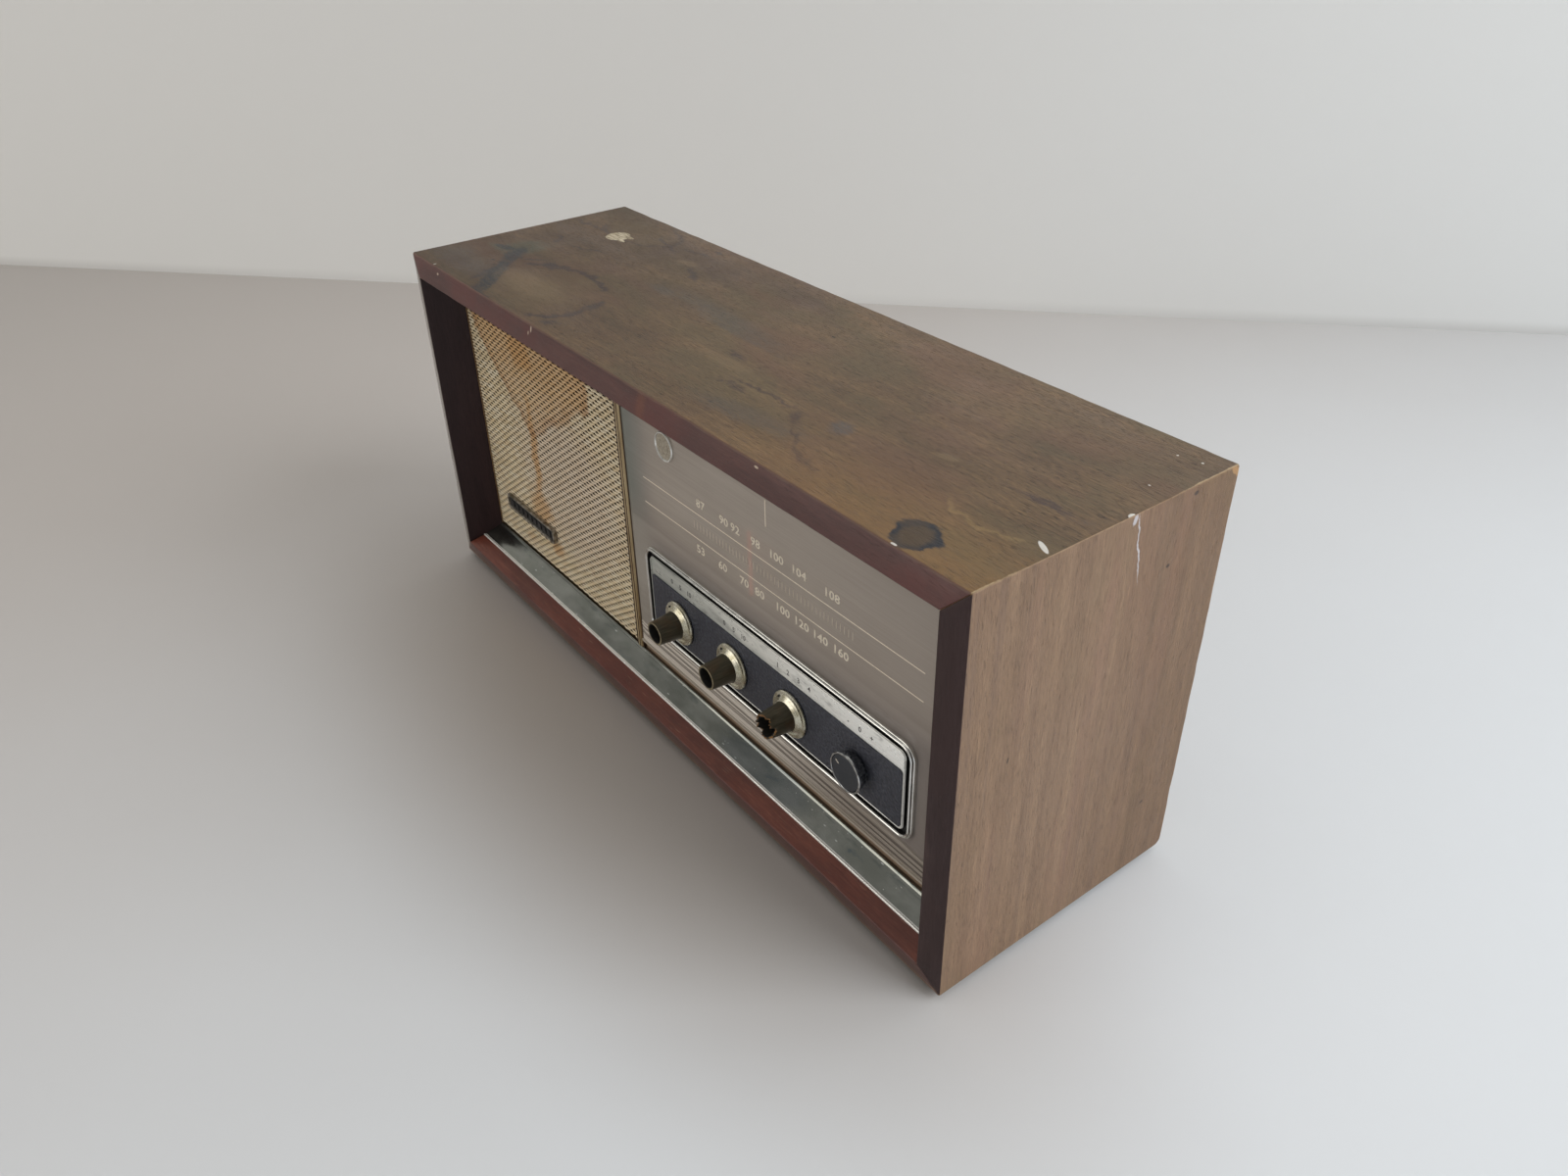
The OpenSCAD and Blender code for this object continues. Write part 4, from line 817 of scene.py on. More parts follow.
even = floats(1.0, columns, (rows_total + 1) // 2, start_x, start_z, FLOAT_PITCH, 3)
join(even, floats(1.0, columns - 1, rows_total // 2, start_x + FLOAT_PITCH / 2, start_z + ROW,
    FLOAT_PITCH, 5))
join(even, floats(0.47, 2, rows_total // 2, start_x - FLOAT_PITCH / 4, start_z + ROW,
    FLOAT_PITCH * (columns - 0.5), 7))
print("cloth", rows_total, "rows,", len(even.faces), "faces")
cloth_floats = keep_piece("cloth_floats", even, (strand,), smooth=0)
cloth_floats.data.shade_smooth()

sheet = bmesh.new()
bmesh.ops.create_grid(sheet, x_segments=72, y_segments=64, size=0.5)
wide_cloth, tall_cloth = CLOTH["right"] - CLOTH["left"], CLOTH["high"] - CLOTH["low"]
for v in sheet.verts:
    x = CLOTH["left"] + (v.co.x + 0.5) * wide_cloth
    z = CLOTH["low"] + (v.co.y + 0.5) * tall_cloth
    v.co = (x, CLOTH["back"] - 0.3, z)
flat_area = sum(f.calc_area() for f in sheet.faces)
bmesh.ops.solidify(sheet, geom=sheet.faces[:], thickness=0.25)
outwards(sheet)
cloth = keep_piece("speaker_cloth", sheet, (ground,), stands_for=("grille_cloth",))
print("cloth", round(wide_cloth, 1), "x", round(tall_cloth, 1), "mm, area", round(flat_area), "mm2")

# %% [markdown]
# ## Chrome ledge
# A folded strip of bright steel lies on the slope of the bottom board. It's a near mirror, so
# most of what is seen on it is the dark case and the cloth. Age shows as pale pits along the
# edges, as a dull bloom and as a slight waviness. Its rolled front lip is painted near white, as
# a painted highlight.

# %% Ledge
BLUE_X = 74.0
chrome = Finish("ledge_chrome", rough=0.16, metal=1.0)
bloom = chrome.noise((0.05, 0.09, 0.09), detail=5, rough=0.6)
pits = chrome.cells((0.34, 0.6, 0.6))
salt = pits.step(0.13, 0.08)
gather = chrome.noise((0.03, 0.1, 0.1), detail=2).step(0.45, 0.68)
right_end = chrome.axes()[0].step(20, 165, 0.15, 1.0)
salt = salt * (gather * right_end)
rust = chrome.noise((0.09, 0.3, 0.3)).step(0.62, 0.72)
color = bloom.step(0.35, 0.7).between((142, 145, 138), (164, 166, 160))
color = color.tint(rust * right_end, (104, 116, 122))
part = chrome.axes()
smudge = chrome.noise((0.07, 0.35, 0.35), rough=0.65)
smudge = smudge.step(0.5, 0.64) * part[1].step(-48.5, -44.5)
color = color.tint(smudge * 0.5, (84, 96, 96))
speck = chrome.cells((0.085, 0.3, 0.3))
color = color.tint(speck.step(0.085, 0.055), (232, 235, 232))
blue = chrome.patch(((BLUE_X, -48.0, 15, 3.2, 0),), smudge, 0.9, 0.4)
color = color.tint(blue * 0.4, (92, 102, 112))
chrome.set("Metallic", 1.0 - salt * 0.9)
wave = chrome.noise((0.02, 0.05, 0.05), detail=2)
chrome.paint(color.tint(salt, (240, 242, 238)), wave + salt * 0.02, 0.9,
    rough=bloom.step(0.3, 0.75, 0.1, 0.24) + salt * 0.5)

# The rolled front lip: near white and half metal, a painted highlight.
lip = Finish("ledge_lip", metal=0.45)
nick = lip.noise((0.5, 1, 1), detail=3).step(0.6, 0.7)
lip.paint(tone(252, 252, 248), lip.noise((0.2, 1, 1), detail=2), 0.1, rough=0.16 + nick * 0.3)

def ledge_section():
    y0, y1 = -53.1, -42.7
    rise = lambda y: 16.35 + (y - y0) * (22.4 - 16.35) / (y1 - y0 - 0.8)
    points = [(y0, 16.25)]
    points += [(y0 + 0.5 - 0.5 * math.cos(a), 16.6 + 0.5 * math.sin(a))
        for a in (0, 0.5, 1.0, 1.57, 2.1, 2.6)]
    points += [(y0 + 1.25, rise(y0 + 1.25) - 0.1)]
    points += [(y, rise(y)) for y in (-50.5, -48.5, -46.5, -44.6)]
    points += [(-44.2, rise(-44.2)), (-44.0, 22.5), (-43.75, 22.85), (-43.4, 22.9), (-43.1, 22.85),
        (-42.75, 22.7)]
    points += [(-42.75, 20.95), (-43.5, 20.95)]
    return points

def ledge_half(y):
    """Half the width between the side boards at a depth, less a little room."""
    inward = RIDGE_IN + (BOARD - RIDGE_IN) * min(y - FRONT, RECESS) / RECESS
    return CASE_W / 2 - inward - 0.3

bm = bmesh.new()
swept(bm, ledge_section(), ledge_half)
tidy_normals(bm)
give(bm, 1, lambda at, way: at.y < -52.0)
keep_piece("ledge_strip", bm, (chrome, lip), stands_for=("chrome_ledge",),
    smooth=50)

# %% [markdown]
# ## Dial panel
# The panel is one moulding of clear plastic, painted warm grey on its back. Its front has very
# fine level ribs along the foot, a soft recess round the control plate and a small lip at the
# bottom. The surface is a height map: one function gives the height at every place.

# %% Panel shape
PANEL = {"left": -24.4, "right": 171.9, "low": 27.2, "high": 152.4, "front": -43.5, "back": -42.0}
RING = {"x": 72.4, "z": 63.4, "w": 170.8, "h": 44.0, "r": 6.4}

def outside_ring(x, z):
    """Distance from the ring's outline, negative inside it."""
    dx = abs(x - RING["x"]) - (RING["w"] / 2 - RING["r"])
    dz = abs(z - RING["z"]) - (RING["h"] / 2 - RING["r"])
    return math.hypot(max(dx, 0), max(dz, 0)) + min(max(dx, dz), 0) - RING["r"]

def smooth_step(t):
    t = min(max(t, 0.0), 1.0)
    return t * t * (3 - 2 * t)

RIBS = (28.9, 29.9, 30.9, 32.4, 33.4, 34.9, 36.4, 37.9)
def panel_height(x, z):
    """How far the panel stands in front of its face, in millimetres."""
    if z < 28.3:
        return 0.55
    height = 0.0
    d = outside_ring(x, z)
    height -= 0.55 * smooth_step((6.5 - d) / 5.5)
    if z < 39:
        for rib in RIBS:
            if abs(z - rib) < 0.24:
                height += 0.16
    height -= 0.3 * smooth_step((x - 168.5) / 3.0) + 0.35 * smooth_step((-21.0 - x) / 3.0)
    return height

def lines(low, high, step, marks=()):
    """Even places from low to high, about a step apart, with the marks put in among them."""
    count = int((high - low) / step)
    places = [low + k * (high - low) / count for k in range(count + 1)]
    return sorted({round(v, 3) for v in (*places, *marks) if low <= v <= high})

rib_marks = [m for rib in RIBS for m in (rib - 0.27, rib - 0.2, rib + 0.2, rib + 0.27)]
xs = lines(PANEL["left"], PANEL["right"], 1.3)
zs = [*lines(PANEL["low"], 28.25, 0.6), 28.35, *lines(28.5, 39.2, 1.2, rib_marks),
    *lines(40, PANEL["high"], 1.25)]
bm = bmesh.new()
net = [[bm.verts.new((x, PANEL["front"] - panel_height(x, z), z)) for z in zs] for x in xs]
for i in range(len(xs) - 1):
    for j in range(len(zs) - 1):
        face = bm.faces.new((net[i][j], net[i + 1][j], net[i + 1][j + 1], net[i][j + 1]))
        middle = (xs[i] + xs[i + 1]) / 2, (zs[j] + zs[j + 1]) / 2
        # Inside the ring the panel takes the black of the painted gap shade.
        face.material_index = int(outside_ring(*middle) < -1.3)
rim = [column[0] for column in net] + net[-1][1:]
rim += [column[-1] for column in net[-2::-1]] + net[0][-2:0:-1]
behind = [bm.verts.new((v.co.x, PANEL["back"], v.co.z)) for v in rim]
for k in range(len(rim)):
    j = (k + 1) % len(rim)
    bm.faces.new((rim[k], behind[k], behind[j], rim[j]))
bm.faces.new(behind).material_index = 2
outwards(bm)
print("panel", len(xs), "x", len(zs), "lines")

# %% Panel finish
dial = Finish("dial_plastic", rough=0.38, Coat_Weight=0.12, Coat_Roughness=0.2)
brush = dial.noise((0.03, 1, 5.5), detail=3, rough=0.6)
cloud = dial.noise((0.012, 0.1, 0.03), detail=3)
color = cloud.step(0.3, 0.7).between((173, 162, 151), (190, 179, 168))
color = color.tint(brush.step(0.35, 0.7, 0.0, 0.3), (148, 134, 122))
part = dial.axes()
# Painted reflection: a bluish grey cast on the left end of the panel.
painted_reflection_left = part[0].step(-5, -22) * part[2].step(88, 112, 0.25, 1.0)
color = color.tint(painted_reflection_left * 0.7, (122, 132, 124))
color = color.tint(part[0].step(40, 170, 0.0, 0.5), (162, 150, 140))
# Darker along the top and the left edge, and painted shade above the ring.
painted_shade_above_ring = part[2].step(103, 85) * part[0].step(-16, 2)
for share, tint in ((part[2].step(125.5, 128), (235, 235, 235)),
        (part[0].step(2, -12), (232, 234, 236)), (painted_shade_above_ring, (196, 196, 200))):
    color = color.tint(share, color.times(tint))
# The foot is darker. Its pale stripes are painted highlights on the fine ribs, and it is painted
# lighter towards the left, as painted light.
foot = part[2].step(39.5, 38)
rib_highlight_stripe = dial.noise((0.004, 0.1, 1.1), detail=2)
lit = part[0].step(125, 60)
color = color.tint(foot, lit.between((104, 94, 86), (146, 137, 128)))
color = color.tint(foot * rib_highlight_stripe.step(0.46, 0.54), lit.between((164, 154, 143), (222, 214, 204)))
color = color.tint(part[2].step(28.6, 28.2), (176, 166, 152))
window = part[2].step(94, 97) * part[2].step(127.5, 125.5)
dial.set("Alpha", 1.0 - window * 0.16)
dial.paint(color, brush, 0.02, rough=brush.step(0.3, 0.7, 0.32, 0.46))
# Near black for the narrow gap between the ring and the plate: painted shade in the gap, on the
# panel inside the ring, the ring's inner side and the plate's edge.
gap_shade_black = Finish("gap_painted_shade_black")
gap_shade_black.paint(tone(24, 22, 22), gap_shade_black.noise(1), 0.05)
clear_back = Finish("clear_back", rough=0.3, color=(150, 146, 140))
haze = clear_back.noise(0.1, detail=3)
clear_back.set("Alpha", haze.step(0.3, 0.7, 0.03, 0.1))
keep_piece("dial_front", bm, (dial, gap_shade_black, clear_back),
    stands_for=("dial_panel",), smooth=30)

# %% [markdown]
# ## Print on the dial
# The scale is printed in pale cream: two long rules, short ticks between them, and the numbers
# of both bands. Letters start as text curves and become thin flat solids.

# %% Dial print
ink = Finish("cream_ink")
worn = ink.noise(0.6, detail=3)
ink.paint(worn.step(0.5, 0.72, 0.0, 0.55).between((240, 229, 210), (208, 196, 178)), worn, 0.02)
faint_ink = Finish("faint_ink")
worn = faint_ink.noise(0.6, detail=3)
faint_ink.set("Base Color", worn.between((226, 214, 198), (202, 190, 174)))

def written(bm, words, x, z, height, front, thick=0.04, squeeze=1.0, weight=0.0):
    """Adds centred figures whose feet stand at height z."""
    curve = bpy.data.curves.new("words", "FONT")
    curve.body, curve.align_x = words, "CENTER"
    curve.resolution_u, curve.offset = 2, weight
    holder = bpy.data.objects.new("words", curve)
    bpy.context.scene.collection.objects.link(holder)
    ready = holder.evaluated_get(bpy.context.evaluated_depsgraph_get())
    mesh = bpy.data.meshes.new_from_object(ready)
    bpy.data.objects.remove(holder)
    letters = bmesh.new()
    letters.from_mesh(mesh)
    bmesh.ops.remove_doubles(letters, verts=letters.verts, dist=1e-5)
    size = height / 0.73
    for v in letters.verts:
        v.co = (x + v.co.x * size * squeeze, front, z + v.co.y * size)
    pushed = bmesh.ops.extrude_face_region(letters, geom=letters.faces[:])
    for v in (g for g in pushed["geom"] if isinstance(g, bmesh.types.BMVert)):
        v.co.y -= thick
    outwards(letters)
    join(bm, letters)

def rule(bm, x0, x1, z0, z1, front, thick=0.04):
    """Adds a flat bar that stands thick in front of a depth."""
    for v in bmesh.ops.create_cube(bm, size=1.0)["verts"]:
        v.co = (x0 if v.co.x < 0 else x1, front if v.co.y > 0 else front - thick,
            z0 if v.co.z < 0 else z1)

PRINT_FRONT = PANEL["front"] - 0.01
bm = bmesh.new()
for z in (118.1, 106.6):
    rule(bm, -10.2, 159.4, z - 0.21, z + 0.21, PRINT_FRONT)
fm = ((87, 32.4), (90, 48.2), (92, 55.6), (98, 68.4), (100, 81.0), (104, 94.2), (108, 112.6))
am = ((53, 30.8), (60, 46.0), (70, 60.2), (80, 70.1), (100, 84.2), (120, 95.4), (140, 106.2),
    (160, 117.6))
for marks, z in ((fm, 121.65), (am, 100.35)):
    for number, x in marks:
        written(bm, str(number), x, z, 3.7, PRINT_FRONT, squeeze=1.17, weight=0.02)
tick = bmesh.new()
rule(tick, -0.16, 0.16, -1.7, 1.7, 0.02, 0.06)
TICKS, FIRST_TICK, LAST_TICK = 45, 27.2, 123.9
join(bm, set_out("rows", tick, faint_ink, Columns=TICKS, Rows=1,
    Across=(LAST_TICK - FIRST_TICK) / (TICKS - 1) * MM, Up=0.001,
    Start=(FIRST_TICK * MM, PRINT_FRONT * MM, 112.6 * MM), Seed=2), 1)
rule(bm, 74.9, 75.4, 133.3, 144.2, PRINT_FRONT)
keep_piece("dial_print", bm, (ink, faint_ink), smooth=0)

# %% [markdown]
# ## Trim round the dial
# Three bright pieces frame the panel: a gold strip beside the cloth, a small round crest and
# the beaded ring round the controls. Each section is drawn and then swept or turned.

# %% Divider
gold = Finish("gold_strip", rough=0.34, metal=0.55, color=(182, 160, 122))
tarnish = gold.noise((0.3, 0.3, 0.04))
gold.paint(tarnish.step(0.35, 0.65).between((158, 134, 96), (196, 176, 138)), tarnish, 0.03,
    rough=tarnish.step(0.3, 0.7, 0.25, 0.45))
brown = Finish("strip_brown", rough=0.4)
brown.paint(brown.noise((0.4, 0.4, 0.06)).between((46, 30, 19), (84, 58, 36)),
    brown.noise((0.6, 0.6, 0.2)), 0.03)
profile = [(-29.6, -42.0, 1), (-29.6, -43.6, 1), (-29.2, -43.95, 1), (-28.8, -43.95, 1),
    (-28.5, -43.5, 0), (-28.2, -44.0, 0), (-27.6, -44.2, 0), (-26.8, -44.15, 1), (-26.5, -43.7, 0),
    (-26.2, -44.05, 0), (-25.6, -44.0, 0), (-25.2, -43.4, 1), (-24.5, -43.4, 1), (-24.5, -42.0, 1)]
bm = bmesh.new()
rings = [[bm.verts.new((x, y, z)) for x, y, _ in profile] for z in lines(23.0, 152.4, 6)]
for k, face in enumerate(skin(bm, rings)):
    face.material_index = profile[k % len(profile)][2]
bm.faces.new(rings[0])
bm.faces.new(rings[-1])
outwards(bm)
keep_piece("divider_trim", bm, (gold, brown), stands_for=("divider_strip",),
    smooth=30)

# %% Crest
bright = Finish("bright_trim", rough=0.2, metal=1.0, color=(214, 214, 206))
smear = bright.noise(0.15)
bright.paint(smear.step(0.35, 0.7).between((222, 222, 218), (244, 244, 240)),
    bright.noise(0.2, detail=1), 0.002, rough=smear.step(0.3, 0.7, 0.16, 0.22))
pale = Finish("crest_field", rough=0.46, metal=0.2)
dust = pale.noise(1.2)
pale.paint(dust.step(0.35, 0.7).between((147, 138, 123), (184, 174, 157)), dust, 0.1)
bm = bmesh.new()
crest_at = (9.0, 139.2)
turned(bm, [(6.4, 0.0), (6.4, 0.6), (6.15, 0.88), (5.7, 0.9), (5.4, 0.55)], crest_at,
    PANEL["front"], closed=False)
turned(bm, [(5.41, 0.54), (3.6, 0.5), (3.3, 0.72), (2.9, 0.72), (2.6, 0.48), (1.2, 0.5),
    (0.9, 0.7), (0.3, 0.74)], crest_at, PANEL["front"], steps=48, closed=False)
tidy_normals(bm, merge=0.02)
give(bm, 1, lambda at, way: math.hypot(at.x - crest_at[0], at.z - crest_at[1]) < 5.3)
keep_piece("round_crest", bm, (bright, pale), stands_for=("crest_disc",), smooth=35)

# %% Ring, plate and inlay
ring_section = [(0, 0.0), (0, 0.7), (0.15, 0.85), (0.55, 0.85), (0.65, 1.15), (0.85, 1.5),
    (1.2, 1.7), (1.55, 1.6), (1.8, 1.3), (1.9, 1.1), (2.0, 0.0)]
bm = bmesh.new()
framed(bm, RING["w"], RING["h"], RING["r"], ring_section, (RING["x"], RING["z"]),
    PANEL["front"] + 0.5, steps=12)
for v in bm.verts:
    if v.co.y < PANEL["front"] + 0.4:
        v.co.y -= 0.5
tidy_normals(bm)
# The ring's inner side takes the black of the painted gap shade.
give(bm, 1, lambda at, way: outside_ring(at.x, at.z) < -1.86)
keep_piece("beaded_ring", bm, (bright, gap_shade_black), stands_for=("bezel_ring",),
    smooth=40)

satin = Finish("satin_plate", rough=0.36, metal=0.5)
brush = satin.noise((0.05, 1, 5), detail=3)
grime = satin.noise((0.045, 0.2, 0.14), detail=5, rough=0.65)
across = satin.noise((0.02, 0.1, 0.1), detail=2) * 90.0 + satin.axes()[0]
color = across.step(20, 190).ramp((0.0, (182, 186, 180)), (0.35, (222, 224, 218)),
    (0.6, (240, 240, 234)), (1.0, (254, 254, 250)))
color = color.tint(brush.step(0.4, 0.7, 0.0, 0.35), (232, 232, 226))
color = color.tint(grime.step(0.52, 0.66, 0.0, 0.55), (138, 140, 136))
satin.paint(color, brush, 0.01, rough=grime.step(0.3, 0.75, 0.22, 0.45))
bm = bmesh.new()
plate(bm, 162.8, 36.0, 2.6, 1.1, 0.15, (RING["x"], RING["z"]), PANEL["front"] + 0.1, steps=10)
framed(bm, 162.4, 35.6, 2.4, [(0, 1.0), (0.1, 1.35), (0.35, 1.45), (0.6, 1.35), (0.75, 1.0)],
    (RING["x"], RING["z"]), PANEL["front"])
tidy_normals(bm)
# The plate's edge wall takes the black of the painted gap shade.
give(bm, 1, lambda at, way: abs(way.y) < 0.2 and at.y > PANEL["front"] - 0.8)
keep_piece("satin_control_plate", bm, (satin, gap_shade_black),
    stands_for=("control_plate",), smooth=35)

leather = Finish("pebbled_inlay", rough=0.45, Specular_IOR_Level=0.5)
pebble = leather.cells(leather.vector("ADD", leather.scaled((0.9, 1, 1.1)),
    leather.vector("SCALE", leather.noise(0.7, detail=2, color=True), scale=0.9)),
    feature="SMOOTH_F1")
fine = leather.noise(2.2, detail=3)
color = pebble.step(0.2, 0.7).between((44, 46, 56), (68, 71, 82))
color = color.tint(leather.noise(0.05).step(0.4, 0.65, 0, 0.3), (42, 42, 50))
leather.paint(color, pebble + fine * 0.4, 0.45, rough=fine.step(0.35, 0.7, 0.42, 0.6))
bm = bmesh.new()
plate(bm, 160.6, 26.2, 1.6, 0.55, 0.12, (RING["x"], 59.6), PANEL["front"] - 1.0)
tidy_normals(bm)
keep_piece("inlay_sheet", bm, (leather,), stands_for=("leather_inlay",), smooth=35)

dark_ink = Finish("plate_figures", rough=0.55, color=(62, 60, 60))
dark_ink.paint(dark_ink.noise(1, detail=3).between((34, 32, 34), (84, 82, 80)), dark_ink.noise(2),
    0.01)
bm = bmesh.new()
CONTROLS = (13.2, 51.7, 90.2, 128.7)
CONTROL_Z = 58.2
band_front = PANEL["front"] - 1.01
for i, figures in enumerate((("0", "5", "10"), ("0", "5", "10"), ("1", "2", "3", "4"),
        ("-", "0", "+"))):
    for k, figure in enumerate(figures):
        x = CONTROLS[i] + (k - (len(figures) - 1) / 2) * 6.4 + 1.0
        written(bm, figure, x, 75.0, 2.4, band_front, thick=0.03, weight=0.01)
keep_piece("plate_figures", bm, (dark_ink,), smooth=0)
print("controls at", CONTROLS)

# %% [markdown]
# ## Controls
# Three controls have lost their knob caps. What's left on each is a spun nickel flange and a
# tapered stub of cloudy olive-brown plastic; the third stub is broken at its tip. The fourth
# still has its fluted tuning knob with a black disc in front. All are turned shapes.

# %% Control finishes
nickel = Finish("pale_nickel", rough=0.3, metal=0.9)
worn = nickel.noise(0.25)
dull_spots = nickel.noise(1.1)
color = worn.step(0.35, 0.65).between((188, 182, 156), (224, 221, 204))
color = color.tint(dull_spots.step(0.6, 0.78, 0.0, 0.22), (120, 110, 80))
nickel.paint(color, worn, 0.008, rough=dull_spots.step(0.3, 0.8, 0.22, 0.4))

smoked = Finish("smoked_stub", rough=0.36, Coat_Weight=0.1)
streaks = smoked.noise((1.6, 0.12, 1.6), rough=0.6)
patch = smoked.noise(0.14, detail=3)
color = streaks.ramp((0.3, (52, 46, 31)), (0.55, (72, 66, 49)), (0.75, (96, 88, 68)))
color = color.tint(patch.step(0.48, 0.66, 0.0, 0.35), (86, 58, 32))
smoked.paint(color, streaks, 0.06, rough=streaks.step(0.3, 0.75, 0.28, 0.5))
stub_edge = Finish("stub_edge", rough=0.45)
stub_edge.paint(stub_edge.noise(0.5, detail=3).ramp((0.35, (98, 86, 60)), (0.65, (146, 134, 104))),
    stub_edge.noise(2), 0.1)
broken_edge = Finish("broken_edge", rough=0.6)
broken_edge.paint(broken_edge.noise(0.5, detail=3).ramp((0.35, (84, 52, 24)),
    (0.65, (146, 104, 52))), broken_edge.noise(2), 0.2)
# Near black inside the bores and the flange hole: painted shade in the hollows.
bore_painted_shade = Finish("bore_painted_shade", rough=0.6)
bore_painted_shade.paint(bore_painted_shade.noise(0.8).ramp((0.3, (16, 15, 12)), (0.7, (34, 30, 24))),
    bore_painted_shade.noise(2), 0.1)

# %% Flanges and stubs
FLANGE_BACK = -45.2

def flange(name, x):
    profile = [(3.1, 0.05), (9.6, 0.0), (10.0, 0.3), (10.0, 0.8), (9.75, 1.15), (9.3, 1.3),
        (8.8, 1.22), (8.3, 1.4), (7.9, 1.75), (7.4, 2.15), (6.9, 2.45), (6.6, 2.72), (6.3, 2.8),
        (6.2, 2.6), (6.25, 1.3), (3.1, 1.3)]
    bm = bmesh.new()
    turned(bm, profile, (x, CONTROL_Z), FLANGE_BACK, steps=72)
    tidy_normals(bm)
    dot = bmesh.new()
    turned(dot, [(0.62, 1.3), (0.62, 1.93), (0.45, 1.96)], (x - 5.0, CONTROL_Z + 6.2), FLANGE_BACK,
        steps=16, closed=False)
    # The small hole takes the painted shade.
    join(bm, dot, 1)
    keep_piece(name + "_flange_cup", bm, (nickel, bore_painted_shade),
        stands_for=(name + "_flange",), body=name + "_control", smooth=32)

def jag(angle, strength):
    """How much of the broken tip is missing at an angle, in millimetres."""
    n = noise.noise(Vector((math.cos(angle) * 1.7, math.sin(angle) * 1.7, 4.0)))
    m = noise.noise(Vector((math.cos(angle) * 6, math.sin(angle) * 6, 9.0)))
    return strength * max(0.0, 0.6 + 1.4 * n + 0.8 * m)

def stub(name, x, broken):
    profile = [(3.1, 1.35), (6.2, 1.35), (6.25, 2.2), (5.95, 5.0), (5.6, 9.0), (5.32, 12.55),
        (5.24, 12.9), (5.0, 13.0), (4.5, 13.0), (4.28, 12.85), (4.25, 10.5), (4.25, 6.2),
        (3.1, 5.4)]
    def shape(r, reach, a):
        if broken and reach > 12:
            reach -= jag(a, broken) * (1.0 if reach > 12.5 else 0.8)
            r += 0.1 * noise.noise(Vector((a * 3, reach, 1)))
        elif broken and reach > 8.9:
            reach = min(reach, 12.0 - jag(a, broken))
        return r, reach
    bm = bmesh.new()
    turned(bm, profile, (x, CONTROL_Z), FLANGE_BACK, steps=96, shape=shape)
    outwards(bm)
    def in_bore(at, way):
        out = Vector((at.x - x, 0, at.z - CONTROL_Z))
        return out.length < 4.6 and way.dot(out) < 0 and FLANGE_BACK - at.y > 1.4
    give(bm, 1, lambda at, way: way.y < -0.55 and FLANGE_BACK - at.y > 9)
    # The bore takes the painted shade.
    give(bm, 2, in_bore)
    edge = broken_edge if broken else stub_edge
    keep_piece(name + "_stub_tube", bm, (smoked, edge, bore_painted_shade),
        stands_for=(name + "_stub",), body=name + "_control", smooth=50)

for name, x, broken in zip(("volume", "tone", "selector"), CONTROLS, (0.0, 0.0, 1.7)):
    flange(name, x)
    stub(name, x, broken)

# %% Tuning knob
knob_metal = Finish("knob_metal", rough=0.2, metal=1.0, color=(150, 152, 154))
film = knob_metal.noise(0.5)
knob_metal.paint(film.step(0.35, 0.7).between((158, 160, 162), (222, 223, 222)), film, 0.01,
    rough=film.step(0.3, 0.75, 0.1, 0.26))
cap_black = Finish("cap_black", rough=0.42, color=(34, 36, 42))
scuff = cap_black.noise(0.5, detail=5)
cap_black.paint(scuff.step(0.5, 0.75, 0, 0.4).between((46, 50, 56), (76, 80, 86)), scuff, 0.02,
    rough=scuff.step(0.3, 0.7, 0.34, 0.5))

KNOB_BACK, KNOB_X = -45.3, CONTROLS[3]
bm = bmesh.new()
turned(bm, [(3.1, 0.05), (6.3, 0.0), (6.6, 0.35), (7.55, 3.4), (7.75, 3.75), (8.25, 4.0),
    (8.3, 4.4), (8.3, 4.95), (8.05, 5.2), (7.6, 5.2), (7.45, 4.95), (7.4, 4.35), (3.1, 4.3)],
    (KNOB_X, CONTROL_Z), KNOB_BACK, steps=96)
tidy_normals(bm)
ridge = bmesh.new()
rings = []
for t in (0.0, 0.33, 0.66, 1.0):
    reach, r, w = 0.4 + 3.1 * t, 6.55 + 0.98 * t, 0.42 + 0.06 * t
    rings.append([ridge.verts.new((r + dr * 0.42, -reach, dz * w))
        for dr, dz in ((-0.6, -1), (0.55, -0.75), (1.0, 0.0), (0.55, 0.75), (-0.6, 1))])
skin(ridge, rings)
ridge.faces.new(rings[0])
ridge.faces.new(rings[-1])
outwards(ridge)
join(bm, set_out("ring", ridge, knob_metal, Count=30, Radius=0.0,
    Start=(KNOB_X * MM, KNOB_BACK * MM, CONTROL_Z * MM), Seed=4))
keep_piece("tuning_knob_body", bm, (knob_metal,), stands_for=("tuning_knob",),
    body="tuning_control", smooth=30)

bm = bmesh.new()
turned(bm, [(7.35, 4.35), (7.35, 4.85), (7.2, 5.0), (6.9, 5.03), (3.0, 4.98), (0.2, 4.97)],
    (KNOB_X, CONTROL_Z), KNOB_BACK, closed=False)
tidy_normals(bm)
mark, turn = bmesh.new(), math.radians(148)
for v in bmesh.ops.create_cube(mark, size=1.0)["verts"]:
    along, across = 5.1 + v.co.x * 1.9, v.co.z * 0.42
    v.co = (KNOB_X + along * math.cos(turn) - across * math.sin(turn),
        KNOB_BACK - (5.05 if v.co.y < 0 else 4.9),
        CONTROL_Z + along * math.sin(turn) + across * math.cos(turn))
join(bm, mark, 1)
keep_piece("tuning_knob_face", bm, (cap_black, ink), stands_for=("tuning_cap",),
    body="tuning_control", smooth=30)

# %% [markdown]
# ## Badge
# A shallow bright tray sits low on the cloth. Its sunk field is dark, and carries a plain row of
# raised bars in the same dark finish. The tray is a swept frame, the field is a thin plate, and
# the bars are set out in a row.

